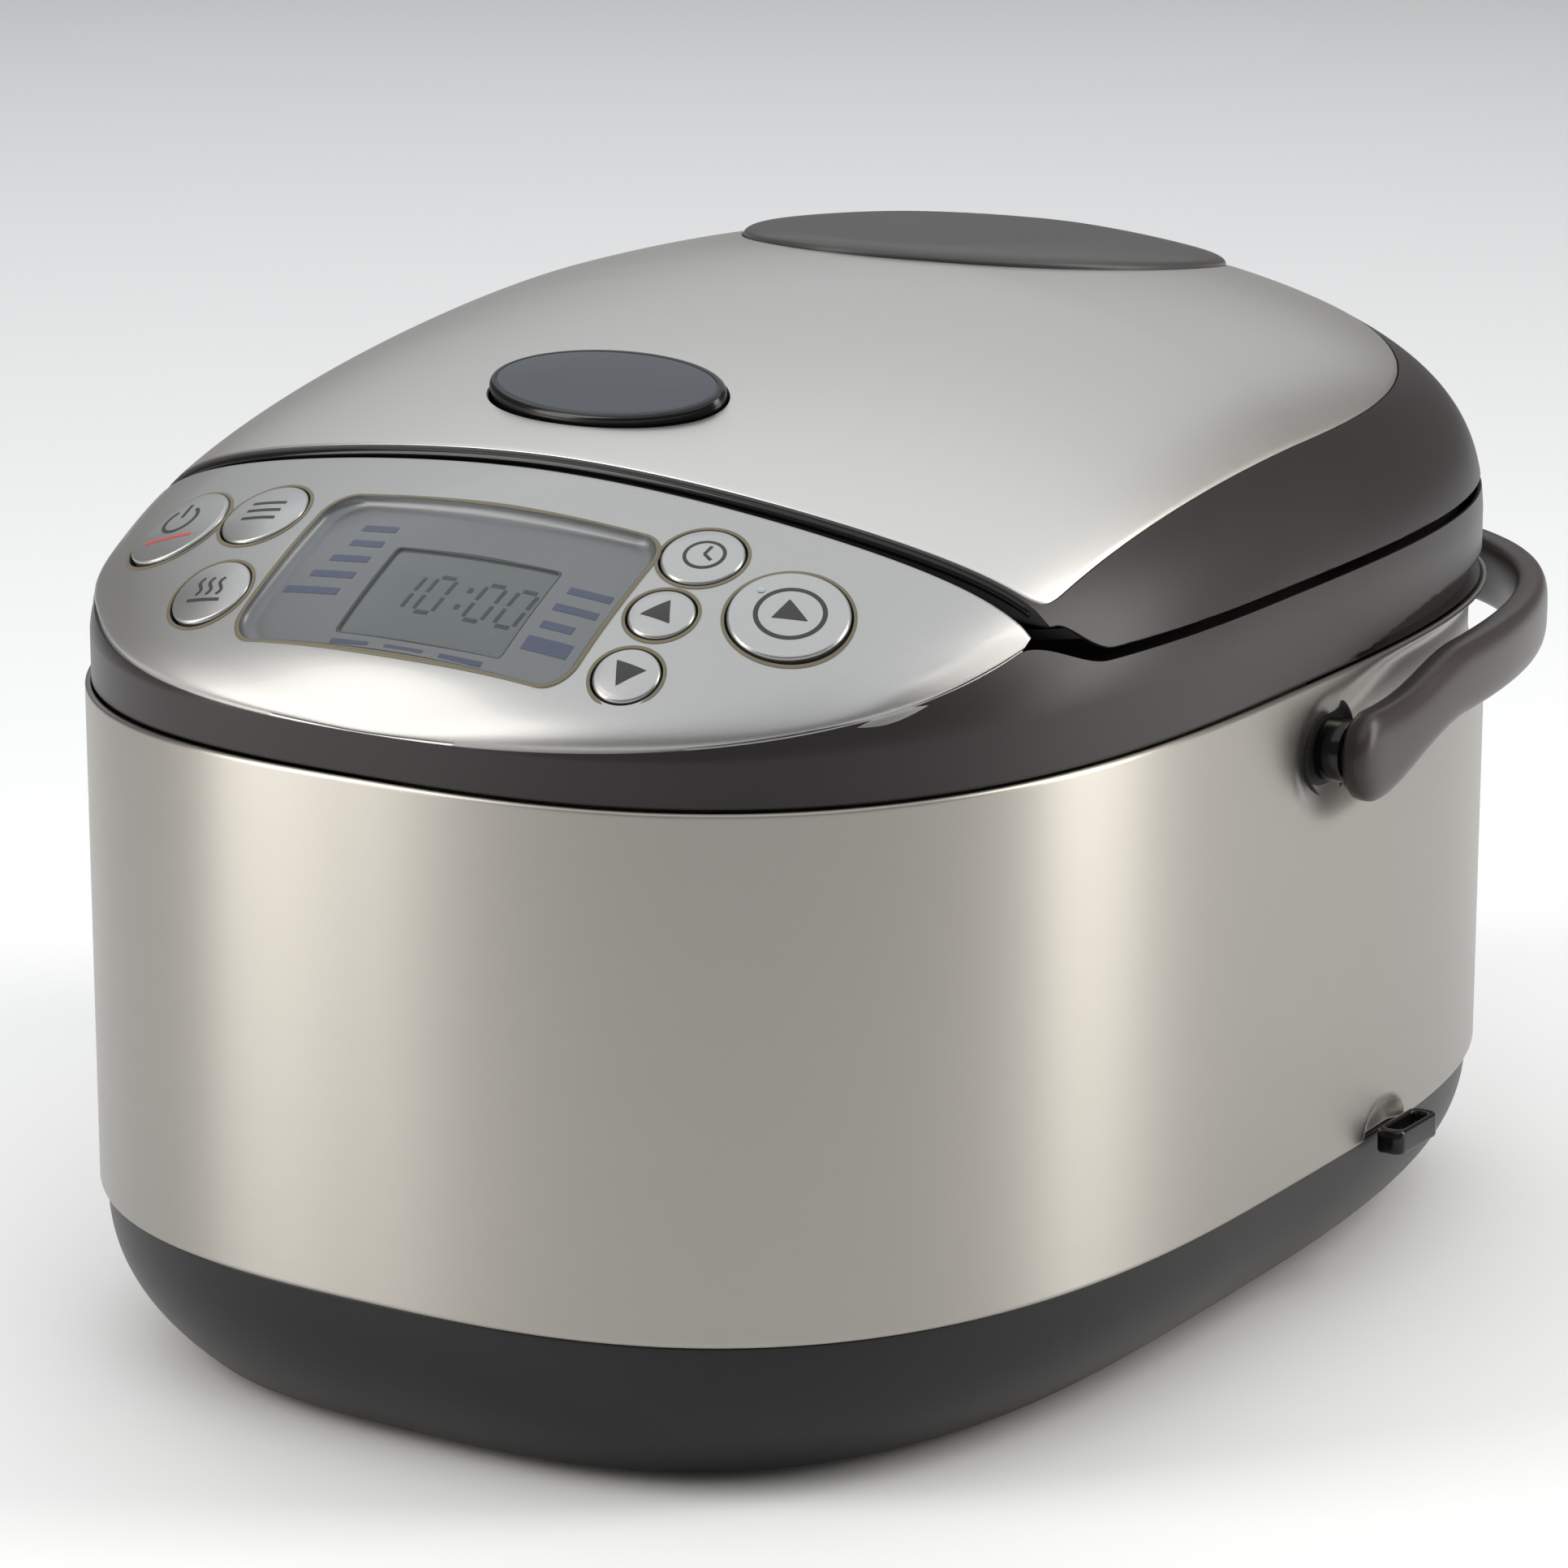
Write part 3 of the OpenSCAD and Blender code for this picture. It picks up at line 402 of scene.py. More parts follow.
# %% Silver paint
def silver_paint(name, tint, rough, metal=0.85):
    s = Sheet(name)
    flakes = s.add("ShaderNodeTexVoronoi", {"feature": "F1"}, {"Vector": s.place(), "Scale": 7000.0}, "Color")
    flake = s.add("ShaderNodeSeparateColor", {}, {0: flakes}, 0)
    soft = s.noise(20.0, None, 2.0)
    lo, hi = tuple(c * 0.93 for c in tint) + (1,), tuple(min(c * 1.06, 1) for c in tint) + (1,)
    return s.set(
        Base_Color=s.mix((flake * 0.5 + soft * 0.5).clamp(), lo, hi),
        Metallic=metal,
        Roughness=(rough + (flake - 0.5) * 0.06),
        Coat_Weight=0.15,
        Normal=s.bump(flake, 0.000002),
    )


panel_silver = silver_paint("panel_silver", (0.37, 0.368, 0.362), 0.40)
key_silver = silver_paint("key_silver", (0.38, 0.38, 0.375), 0.33)
mask_silver = silver_paint("mask_silver", (0.17, 0.175, 0.18), 0.36, 0.6)
olive_line = moulded("olive_line", rgb(104, 98, 80), 0.35)
ink_dark = moulded("ink_dark", rgb(52, 50, 50), 0.5)
ink_red = moulded("ink_red", rgb(196, 62, 60), 0.45)
ink_blue = moulded("ink_blue", rgb(70, 78, 100), 0.45)
lamp_grey = moulded("lamp_grey", rgb(168, 172, 176), 0.3)

# %% [markdown]
# The body wrap is one steel strip. Its profile goes down the inside, round a small rolled edge at the
# bottom, up the outside and round the top edge, and is carried round the plan. Where the handle's arms
# lie, the wall is pressed inwards into a soft trough, which starts as a dimple in front of the pivots.

# %% Steel wrap
WRAP_TOP, BASE_TOP = 160.8, 39.5
PIVOT_V, PIVOT_Z = 27.0, 142.0


def arm_line(v):
    """Height of the middle of the handle's arm above v."""
    return PIVOT_Z + 8.5 * smooth((v - PIVOT_V) / 48)


def pressed(v, z):
    """Depth of the trough: 4.4 mm, fading with the distance from the arm's line and leaving the rim alone."""
    ahead = np.maximum(PIVOT_V - 2 - v, 0) / 21.0
    beside = (z - arm_line(np.maximum(v, PIVOT_V))) / 17.0
    trough = 4.4 * smooth((1.0 - np.sqrt(ahead**2 + beside**2)) / 0.8)
    return trough * smooth((WRAP_TOP - 0.4 - z) / 4.5)


def scuff_dip(x, v, z):
    """A shallow dimple, 2.4 mm deep, above the spatula loop on the right side."""
    far = np.sqrt(((v - 58) / 13) ** 2 + np.maximum((z - 39.5) / 9.5, 0) ** 2)
    return np.where(x > 0, 2.4 * smooth((1 - far) / 0.5), 0)


def strip(profile_off, profile_z, scale=1.0):
    """Carries a profile of (outward offset, height) round the plan. Both may vary from column to column."""
    off = np.broadcast_to(profile_off, (len(profile_off), AROUND)) if np.ndim(profile_off) == 2 else np.repeat(
        np.asarray(profile_off, float)[:, None], AROUND, 1)
    z = profile_z if np.ndim(profile_z) == 2 else np.repeat(np.asarray(profile_z, float)[:, None], AROUND, 1)
    xy = plan[None] * scale + plan_out[None] * off[..., None]
    return np.concatenate([xy, z[..., None]], -1)


low, top = BASE_TOP, WRAP_TOP
z_rows = [low + 0.5, low + 0.05, low, low + 0.25, low + 0.8, *np.linspace(low + 1.2, top - 1.2, 92)]
z_rows += [top - 0.8, top - 0.3, top, top - 0.1, top - 1.4, *np.linspace(top - 4, low + 4, 48)]
off_rows = np.array([-1.6, -1.2, -0.6, -0.15, 0.0] + [0.0] * 93 + [-0.12, -0.6, -1.3, -1.5] + [-1.5] * 48)
wrap_z = np.repeat(np.array(z_rows)[:, None], AROUND, 1)
wrap_x, wrap_v = (np.repeat(plan[None, :, k], len(z_rows), 0) for k in range(2))
wrap_off = off_rows[:, None] - pressed(wrap_v, wrap_z) - scuff_dip(wrap_x, wrap_v, wrap_z)
wrap = strip(wrap_off, wrap_z)


def without(part, gone):
    """Leaves out the faces whose middle passes a test."""
    pts, faces = part
    faces = np.array(faces)
    return pts, faces[~gone(pts[faces].mean(1))].tolist()


SOCKET_Z, SOCKET_W, SOCKET_H = 66, 38, 23


def behind_socket(c):
    """Whether a point lies in the window that the power socket fills."""
    return (c[:, 1] > 150) & (np.abs(c[:, 0]) < SOCKET_W / 2) & (np.abs(c[:, 2] - SOCKET_Z) < SOCKET_H / 2)


wrap_part = without(shell(wrap, close_rows=True), behind_socket)
piece("wrap_sheet", wrap_part, "body", wrap_steel, "steel_wrap", 60)

# %% [markdown]
# The base is a moulded bowl. Its wall is the plan scaled down step by step, following a soft curve that
# bends under to a flat floor, with a small groove below the steel.

# %% Base bowl
BOWL_LONG, BOWL_ROUND, BOWL_REAR = 0.42, -0.8, 0.7


def bowl_ring(scale, height):
    """The plan at one scale. Low down it is a little longer and rounder in front than the plan above."""
    t = np.linspace(0, 2 * math.pi, 8001)[:-1]
    c, q = np.cos(t), np.sin(t)
    n = np.where(q < 0, FRONT_N - BOWL_ROUND * (1 - scale), REAR_N)
    b = np.where(q < 0, FRONT * (scale + BOWL_LONG * (1 - scale)), REAR * (scale + BOWL_REAR * (1 - scale)))
    across = scale * HALF * np.sign(c) * np.abs(c) ** (2 / n)
    ring = even_steps(np.stack([across, b * np.sign(q) * np.abs(q) ** (2 / n)], -1), AROUND)
    return np.column_stack([ring, np.full(AROUND, height)])


fine_z = np.linspace(3.0, 39.0, 60)
fine_s = 0.985 - 0.162 * ((39.0 - fine_z) / 36.0) ** 2.4
under = [(0.6, 2.6), (0.77, 2.6), (fine_s[0] - 0.012, 2.6), (fine_s[0] - 0.004, 2.75)]
rings = [*under, *zip(fine_s, fine_z), (0.982, 39.35), (0.972, 39.35)]
bowl = np.array([bowl_ring(s_, z_) for s_, z_ in rings])
inner = bowl[::6].copy() * [0.975, 0.975, 1] + [0, 0, 2.2]
inner[-1, :, 2] = 39.2
bowl = shell(np.concatenate([bowl, inner[::-1]]), cap_first=True, cap_last=True)
piece("base_bowl", bowl, "body", dark_satin, "base_shell", 50)

# %% [markdown]
# The dark band sits on the steel and carries the lid's seam. It follows the upright wall and then the
# dome: for each height a ray from the middle is shortened until the dome has that height. In front it
# ends at the panel's edge. At the sides its edge drops in an S to the level rim. Over the handle's arms
# a groove is pressed into it for the fingers.

# %% Dark band
LID_MID = np.array([0.0, 20.0])


def polar(outline, centre, frac):
    """Points at the given fractions of each ray from a middle point to a closed outline."""
    frac = np.asarray(frac, float)
    frac = frac if frac.ndim == 2 else np.repeat(frac[:, None], len(outline), 1)
    return centre + frac[..., None] * (outline[None] - centre)


band_line = plan * 0.991
tries = np.linspace(1.0, 0.84, 641)
ray_z = dome(*np.moveaxis(polar(band_line, LID_MID, tries), -1, 0))


def where_dome_is(z):
    """For each column, the share of the ray at which the dome first reaches height z."""
    hit = np.argmax(ray_z >= z, axis=0)
    hit = np.where((ray_z >= z).any(0), hit, len(tries) - 1)
    before = np.maximum(hit - 1, 0)
    cols = np.arange(AROUND)
    z0, z1 = ray_z[before, cols], ray_z[hit, cols]
    mix = np.where(z1 > z0, (z - z0) / np.maximum(z1 - z0, 1e-9), 1)
    return tries[before] + (tries[hit] - tries[before]) * np.clip(mix, 0, 1)


def turn_from_front(x, v):
    """The angle of a point seen from the lid's middle, zero straight ahead."""
    return np.arctan2(x, LID_MID[1] - v)


def edge_height(x, v):
    """Height of the panel's lower edge: 170.9 in the middle, plus a square and a sixth power of the angle."""
    u = np.abs(turn_from_front(x, v)) / math.radians(47)
    return 170.9 + 14.2 * u**2 + 4.0 * u**6


tip = (TIP_X, float(panel_low(TIP_X)))
front = np.abs(turn_from_front(*band_line.T)) <= turn_from_front(*tip)
side_z = RIM + (edge_height(*tip) - RIM) * smooth((-72 - band_line[:, 1]) / 24.5)
band_end = np.where(front, edge_height(*band_line.T), side_z)
low = WRAP_TOP + 0.35


def groove(v, z):
    """Depth of the finger groove above the steel: it opens behind the pivots and is about 5 mm high."""
    tall = 1.0 + 4.6 * smooth((v - 34) / 60)
    return 3.2 * smooth((v - 34) / 14) * smooth((1.15 - (z - low) / tall) / 0.3)


rows = []
for f in np.concatenate([np.linspace(0, 0.45, 18), np.linspace(0.45, 1, 14)[1:]]):
    z = low + 0.5 + (band_end - low - 0.5) * f
    xy = polar(band_line, LID_MID, where_dome_is(z)[None])[0]
    rows.append(np.column_stack([xy - plan_out * groove(plan[:, 1], z)[:, None], z]))
last = rows[-1]
foot = ((3.0, 0.4), (1.0, 0.0), (0.3, 0.1))
start_rows = [np.column_stack([band_line - plan_out * d, np.full(AROUND, low + h)]) for d, h in foot]
inward_step = (LID_MID - last[:, :2]) / np.linalg.norm(LID_MID - last[:, :2], axis=1, keepdims=True)
ledge = ((0.35, -0.02), (0.8, 0.1), (1.1, 0.5), (1.3, 1.2), (2.6, 4.0))
end_rows = [np.column_stack([last[:, :2] + inward_step * d, last[:, 2] - h]) for d, h in ledge]
band = np.array(start_rows + rows + end_rows)
piece("dark_band", shell(band, close_rows=True), "body", grey_satin, "upper_frame", 40)

# %% [markdown]
# Holes are cut while a patch is still flat: faces inside the hole's outline are dropped, and the points
# along the cut slide onto the outline. The flat patch is lifted onto the dome afterwards, so a hole has a
# clean edge without a boolean. A collar, a strip of the same outline, then makes its wall.

# %% Patches and holes
def inside(outline, points):
    """Even-odd rule: counts how many edges of the outline a ray along +x from each point crosses."""
    a, b = outline, np.roll(outline, -1, 0)
    x, y = points[:, 0:1], points[:, 1:2]
    spans = (a[None, :, 1] > y) != (b[None, :, 1] > y)
    rise_y = np.where(b[:, 1] == a[:, 1], 1e-9, b[:, 1] - a[:, 1])
    cross = a[None, :, 0] + (y - a[None, :, 1]) * (b[:, 0] - a[:, 0]) / rise_y
    return (spans & (x < cross)).sum(1) % 2 == 1


def cut(xy, faces, holes):
    """Drops the faces whose middle lies in a hole and moves the points on the cut to the hole's outline."""
    xy, faces = xy.copy(), np.array(faces)
    for hole in holes:
        middle = xy[faces].mean(1)
        near = ((middle > hole.min(0) - 1) & (middle < hole.max(0) + 1)).all(1)
        gone = np.zeros(len(faces), bool)
        gone[near] = inside(hole, middle[near])
        rim = np.intersect1d(faces[gone], faces[~gone])
        far = ((xy[rim][:, None] - hole[None]) ** 2).sum(-1)
        xy[rim] = hole[far.argmin(1)]
        faces = faces[~gone]
    return xy, faces.tolist()


def soften(curve, passes):
    for _ in range(passes):
        curve = (np.roll(curve, 1, 0) + 2 * curve + np.roll(curve, -1, 0)) / 4
    return curve


def ellipse(cx, cy, a, b, count=900):
    t = np.linspace(0, 2 * math.pi, count + 1)[:-1]
    return np.stack([cx + a * np.cos(t), cy + b * np.sin(t)], -1)


def rounded(cx, cy, w, d, r, count=1200):
    """A rectangle with round corners: quarter circles round the four corner middles."""
    t = np.linspace(0, math.pi / 2, 40)
    bits = []
    for k, (sx, sy) in enumerate([(1, 1), (-1, 1), (-1, -1), (1, -1)]):
        a = t + k * math.pi / 2
        mid = np.array([cx + sx * (w / 2 - r), cy + sy * (d / 2 - r)])
        bits.append(mid + r * np.stack([np.cos(a), np.sin(a)], -1))
    return even_steps(np.vstack(bits), count)


def square_to(x, v):
    """A spot on the dome with two directions along it and its normal."""
    n = dome_normal(np.array(x, float), np.array(v, float))
    side = np.array([n[2], 0, -n[0]]) / math.hypot(n[0], n[2])
    return np.array([x, v, float(dome(np.array(x, float), np.array(v, float)))]), side, np.cross(n, side), n


def tangent(spot, xy, h):
    """Points of a flat drawing set on the dome at a spot, lifted by h along the normal."""
    o, a, b, n = spot
    h = np.broadcast_to(np.asarray(h, float), np.shape(xy)[:-1])
    return o + xy[..., 0:1] * a + xy[..., 1:2] * b + h[..., None] * n


BUTTON_SPOT = square_to(0, -68)
button_hole = tangent(BUTTON_SPOT, ellipse(-4, -1.5, 32, 17.4), 0.0)[:, :2]
vent_hole = ellipse(0, 95, 57.9, 70.4)
window_hole = rounded(0, -139.5, 90, 43, 7)
KEYS = {
    "cancel": (-86, -125, 13), "menu": (-61.5, -124.5, 10.8), "warm": (-58.5, -149, 10),
    "timer": (55, -119.5, 9.5), "up": (56, -137.5, 7.6), "down": (57.5, -153.5, 7.6),
    "start": (81.5, -126, 13.6),
}
key_spots = {name: square_to(x, v) for name, (x, v, r) in KEYS.items()}
KEY_GAP = 0.5
key_holes = {
    name: tangent(key_spots[name], ellipse(0, 0, size + KEY_GAP, size + KEY_GAP), 0)[:, :2]
    for name, (_, _, size) in KEYS.items()
}
print("holes", len(key_holes) + 3)

# %% [markdown]
# The lid's shell is a dark moulding. Rays from a middle point to its outline carry it: each ray starts
# at the lip, goes up the wall and follows the dome. On the flanks the dome itself is almost upright, so
# the wall starts where the dome passes the lip's height. The inside is the same surface 3 mm lower.

# %% Outline of the lid plate
px = np.linspace(-120, 120, 600)
sv = np.linspace(-80, -10, 200)
rt = np.radians(np.linspace(0, 180, 1500)[1:-1])
rear_arc = np.stack(
    [123 * np.sign(np.cos(rt)) * np.abs(np.cos(rt)) ** (2 / 3.6), -10 + 160 * np.sin(rt) ** (2 / 3.6)], -1
)
flank = np.stack([123 - 2 * ((-10 - sv) / 75) ** 2, sv], -1)
plate_line = np.vstack([np.stack([px, lid_front(px) + 0.8], -1), flank, rear_arc, flank[::-1] * [-1, 1]])
plate_line = soften(even_steps(plate_line, 600), 5)
print("plate", plate_line.min(0), plate_line.max(0))

# %% Lid shell
front_x = np.linspace(-121, 121, 600)
side_t = np.radians(np.linspace(-22.4, 202.4, 3000))
lid_line = np.vstack([np.stack([front_x, lid_front(front_x)], -1), plan_points(side_t) * 0.992])
lid_line = soften(even_steps(lid_line, 560), 3)
lip = lid_low(lid_line[:, 1])
tries = np.linspace(1, 0.9, 401)
ray_z = dome(*np.moveaxis(polar(lid_line, LID_MID, tries), -1, 0))
start = tries[np.argmax(ray_z >= lip + 0.4, axis=0)]
q = np.concatenate([np.linspace(0, 0.5, 26) ** 1.0, np.linspace(0.5, 0.995, 22)[1:]])
inward = start[None] * ((1 - q**3.025) ** (1 / 1.872))[:, None]
top_xy = polar(lid_line, LID_MID, inward)
top_z = np.maximum(dome(top_xy[..., 0], top_xy[..., 1]), lip + 0.5)
wall_f = np.array([0.965, 0.974, 0.984, 0.993, 0.998, 1.0])[:, None] * start[None]
wall_xy = polar(lid_line, LID_MID, wall_f)
wall_z = lip + np.array([2.5, 0.3, 0.0, 0.0, 0.12, 0.5])[:, None]
climb = np.linspace(0.15, 0.97, 8)[:, None]
rise_z = lip + 0.5 + (top_z[0] - lip - 0.5) * climb
rise_xy = np.repeat(polar(lid_line, LID_MID, start[None]), 8, 0)
inner_xy = polar(lid_line, LID_MID, np.linspace(0.06, 0.965, 24)[:, None] * start[None])
inner_z = np.maximum(dome(inner_xy[..., 0], inner_xy[..., 1]) - 3.2, lip + 2.6)
lid_xy = np.concatenate([inner_xy, wall_xy, rise_xy, top_xy])
lid_z = np.concatenate([inner_z, wall_z, rise_z, top_z])
flat = lid_xy.reshape(-1, 2)
faces = grid_faces(len(lid_xy), len(lid_line), False, True)
upper = (len(inner_xy) + len(wall_xy)) * len(lid_line)
low_f, high_f = [f for f in faces if min(f) < upper], [f for f in faces if min(f) >= upper]
flat, high_f = cut(flat, high_f, [even_steps(plate_line, 3000)])
z = lid_z.reshape(-1).copy()
moved = (flat != lid_xy.reshape(-1, 2)).any(1)
z[moved] = dome(flat[moved, 0], flat[moved, 1])
lid_pts = np.column_stack([flat, z])
lid_pts = np.vstack([lid_pts, np.append(LID_MID, dome(*LID_MID) - 3.2)])
count = len(lid_line)
caps = fan(range(count), len(lid_pts) - 1)
piece("lid_moulding", (lid_pts, low_f + high_f + caps), "lid", grey_satin, "lid_shell", 50)

# %% [markdown]
# Behind the lid a half-round hood, bent from the deck, covers the hinge spring. Its section is an arc
# outside and a smaller arc inside, carried along the hinge.

# %% Hinge hood
HINGE = np.array([178, 194.0])
arc = np.radians(np.linspace(-88, 68, 25))
ring = np.stack([np.cos(arc), np.sin(arc)], -1)
foot = HINGE + np.array([[0.9, -12.6], [0.9, -7.4]])
hood_inside = (HINGE + 6.4 * ring)[::-1]
section = np.vstack([foot, HINGE + 7.4 * ring, hood_inside, HINGE + [[-0.3, -7.0], [-0.3, -12.6]]])
hood = np.array([np.column_stack([np.full(len(section), x), section]) for x in np.linspace(-31.5, 31.5, 12)])
hood = shell(hood, cap_first=True, cap_last=True)
piece("hinge_hood", hood, "body", dark_satin, "hinge_cover", 40)

# %% [markdown]
# The lid plate is thin brushed steel with a rolled edge. It is the same kind of ray patch, with its first
# rows a fraction of a millimetre apart, so that the rolled edge catches a bright line. The plate has an
# oval hole for the steam vent and one for the lid button.

# %% Lid plate
reach = np.linalg.norm(plate_line - LID_MID, axis=1)
EDGE_D = np.array([0.35, 0.0, 0.0, 0.06, 0.2, 0.42, 0.72, 1.1, 1.6])
EDGE_H = np.array([-1.6, -1.5, -0.6, -0.42, -0.22, -0.07, 0.04, 0.1, 0.1])
edge_f = 1 - EDGE_D[:, None] / reach[None]
body_f = np.linspace(1, 0.02, 96)[1:, None] * edge_f[-1][None]
plate_f = np.concatenate([edge_f, body_f])
plate_h = np.concatenate([np.repeat(EDGE_H[:, None], 600, 1), np.full(body_f.shape, 0.1)])
plate_xy = polar(plate_line, LID_MID, plate_f)
flat, faces = cut(plate_xy.reshape(-1, 2), grid_faces(len(plate_f), 600, False, True), [button_hole, vent_hole])
plate_pts = on_dome(flat[:, 0], flat[:, 1], plate_h.reshape(-1))
plate_pts = np.vstack([plate_pts, on_dome(LID_MID[0], LID_MID[1], 0.1)])
faces += fan(range((len(plate_f) - 1) * 600, len(plate_f) * 600), len(plate_pts) - 1)


def collar(hole, heights, spread=0.0):
    """The wall of a hole: its outline on the dome at falling heights, each row a little wider or narrower."""
    middle = hole.mean(0)
    rows = []
    for h, s in zip(heights, np.broadcast_to(spread, len(heights))):
        ring = middle + (hole - middle) * (1 + s / np.linalg.norm(hole - middle, axis=1, keepdims=True))
        rows.append(on_dome(ring[:, 0], ring[:, 1], h))
    return shell(np.array(rows))


piece("lid_skin", (plate_pts, faces), "lid", plate_steel, "lid_plate", 50, up=True)
roll_h, roll_s = [0.1, 0.04, -0.2, -0.8, -2.6], [0.0, -0.25, -0.5, -0.6, -0.6]
piece("vent_hole_edge", collar(vent_hole[::2], roll_h, roll_s), "lid", gloss_black, (), 80)
hole_edge = collar(button_hole[::2], roll_h + [-7.0], roll_s + [-0.6])
piece("button_hole_edge", hole_edge, "lid", gloss_black, (), 80)
bead_t = np.linspace(0, 2 * math.pi, 17)[:-1]
bead_x = np.linspace(-119.5, 119.5, 260)
bead_c = on_dome(bead_x, lid_front(bead_x) - 0.3, -1.5)
bead = bead_c[:, None] + 1.25 * np.column_stack([0 * bead_t, np.cos(bead_t), np.sin(bead_t)])[None]
piece("lid_front_bead", shell(bead, cap_first=True, cap_last=True), "lid", gloss_black, (), 60)

# %% [markdown]
# The control panel is a silver moulding that carries the lid's dome down to the front. Its rows run from
# the front edge to the rear edge at every x, and both edges are rolled. Seven keys and a display window
# look through it.

# %% Control panel
col_x = TIP_X * np.sin(np.linspace(-math.pi / 2, math.pi / 2, 301))
p_low, p_up = panel_low(col_x), panel_up(col_x)
wide = p_up - p_low
roll = np.minimum(1.3, 0.42 * wide)
steps = np.array([0.0, 0.0, 0.05, 0.17, 0.36, 0.62, 1.0])
falls = np.array([-3.0, -1.0, -0.62, -0.32, -0.13, -0.03, 0.0])
inner_v = np.linspace(0, 1, 62)[1:-1]
rows_v = [p_low + roll * s for s in steps] + [p_low + roll + (wide - 2 * roll) * f for f in inner_v]
rows_v += [p_up - roll * s for s in steps[::-1]]
fall = np.concatenate([falls, np.zeros(len(inner_v)), falls[::-1]])
panel_v = np.array(rows_v)
panel_xy = np.stack([np.repeat(col_x[None], len(panel_v), 0), panel_v], -1)
grow = np.minimum(1, roll / 1.3)
panel_h = fall[:, None] * np.where(fall[:, None] < -1.5, 1, grow[None])
openings = [window_hole, *key_holes.values()]
flat, faces = cut(panel_xy.reshape(-1, 2), grid_faces(*panel_v.shape, False, False), openings)
panel_pts = on_dome(flat[:, 0], flat[:, 1], panel_h.reshape(-1))
edge_z = edge_height(col_x, p_low) + 0.25
lower = edge_z - dome(col_x, p_low)
near_edge = smooth(1 - (flat[:, 1] - np.interp(flat[:, 0], col_x, p_low)) / 11.5)
panel_pts[:, 2] += np.interp(flat[:, 0], col_x, lower) * near_edge
for row, drop in ((0, 6.0), (1, 1.0)):
    panel_pts[row * 301 : row * 301 + 301] = np.column_stack([panel_xy[row], edge_z - drop])
piece("front_panel", (panel_pts, faces), "body", panel_silver, "control_panel", 50, up=True)

# %% [markdown]
# Each key sits in a round hole with a thin dark olive line printed round it. The key is a turned cap: a
# profile of radius and height carried round its own axis, with a softly rounded rim and a slight crown.

# %% Keys
KEY_TURN = np.linspace(0, 2 * math.pi, 97)[:-1]


def key_crown(r, size):
    """Height of a key's top: 0.35 at the rim plus 0.85 times one minus the squared share of the radius."""
    return 0.35 + 0.85 * (1 - (r / size) ** 2)


def key_cap(size):
    """Radius and height pairs from the skirt, over the rounded rim, to the middle."""
    a = np.linspace(0, math.pi / 2, 8)
    rim_r, rim_h = size - 0.9 * (1 - np.cos(a)), -0.45 + 0.92 * np.sin(a)
    inner_r = np.linspace(size - 0.9, 0.4, 14)[1:]
    r = np.concatenate([[size, size], rim_r, inner_r])
    h = np.concatenate([[-5.0, -0.6], rim_h, key_crown(inner_r, size)])
    return r, h


def turned(spot, r, h):
    """Carries (radius, height) pairs round the axis of a spot on the dome."""
    xy = r[:, None, None] * np.stack([np.cos(KEY_TURN), np.sin(KEY_TURN)], -1)[None]
    return tangent(spot, xy, np.repeat(h[:, None], len(KEY_TURN), 1))


lines, walls = [], []
for name, (x, v, size) in KEYS.items():
    r, h = key_cap(size)
    cap = shell(turned(key_spots[name], r, h), cap_last=True)
    piece(name + "_cap", cap, name + "_key", key_silver, "button_" + name, 40)
    hole = key_holes[name][::9]
    lines.append(collar(hole, [-0.2, 0.14, 0.2, 0.14, -0.2], [-0.05, 0.0, 0.35, 0.75, 0.85]))
    # The walls of the key holes are near-black: painted shade of the gaps between the keys and the panel.
    walls.append(collar(hole, [0.1, -0.6, -5.0], [0.0, -0.1, -0.1]))
lines.append(collar(window_hole[::4], [-0.3, 0.16, 0.24, 0.24, 0.16, -0.2], [-0.1, 0.0, 0.3, 0.8, 1.1, 1.2]))
piece("key_outlines", join(*lines), "body", olive_line, (), 60)
piece("key_hole_walls", join(*walls), "body", painted_gap_shade, (), 60)

# %% [markdown]
# Symbols are printed on the keys. Each is made of strokes, ribbons of even width along a line, that are
# laid a few hundredths of a millimetre over the key's crown. Plain shapes stand in for words.

# %% Printed symbols
def stroke(line, width, closed=False):
    """A ribbon: the line moved half the width to each side along its normal."""
    line = np.asarray(line, float)
    if closed:
        d = np.roll(line, -1, 0) - np.roll(line, 1, 0)
    else:
        d = np.gradient(line, axis=0)
    d /= np.linalg.norm(d, axis=1, keepdims=True)
    n = np.stack([-d[:, 1], d[:, 0]], -1)
    grid = np.stack([line + n * width / 2, line, line - n * width / 2])
    return grid.reshape(-1, 2), grid_faces(3, len(line), False, closed)


def bar(x0, y0, x1, y1, width, count=8):
    f = np.linspace(0, 1, count)[:, None]
    return stroke(np.array([[x0, y0]]) * (1 - f) + np.array([[x1, y1]]) * f, width)


def ring_line(cx, cy, r, a0=0, a1=360, width=0.5):
    t = np.radians(np.linspace(a0, a1, 49))
    closed = a1 - a0 == 360
    t = t[:-1] if closed else t
    return stroke(np.stack([cx + r * np.cos(t), cy + r * np.sin(t)], -1), width, closed)


def filled(corners, count=12):
    """A convex shape: rings shrinking to its middle."""
    corners = np.array(corners, float)
    outline = even_steps(corners, 36)
    pts = polar(outline, corners.mean(0), np.linspace(1, 0.02, count)).reshape(-1, 2)
    return pts, grid_faces(count, 36, False, True)


def flat_join(parts):
    pts, faces = join(*parts)
    return pts, faces


def wave(cx, cy, h, amp):
    t = np.linspace(0, 1, 24)
    return stroke(np.stack([cx + amp * np.sin(2 * math.pi * t), cy + h * (t - 0.5)], -1), 0.85)


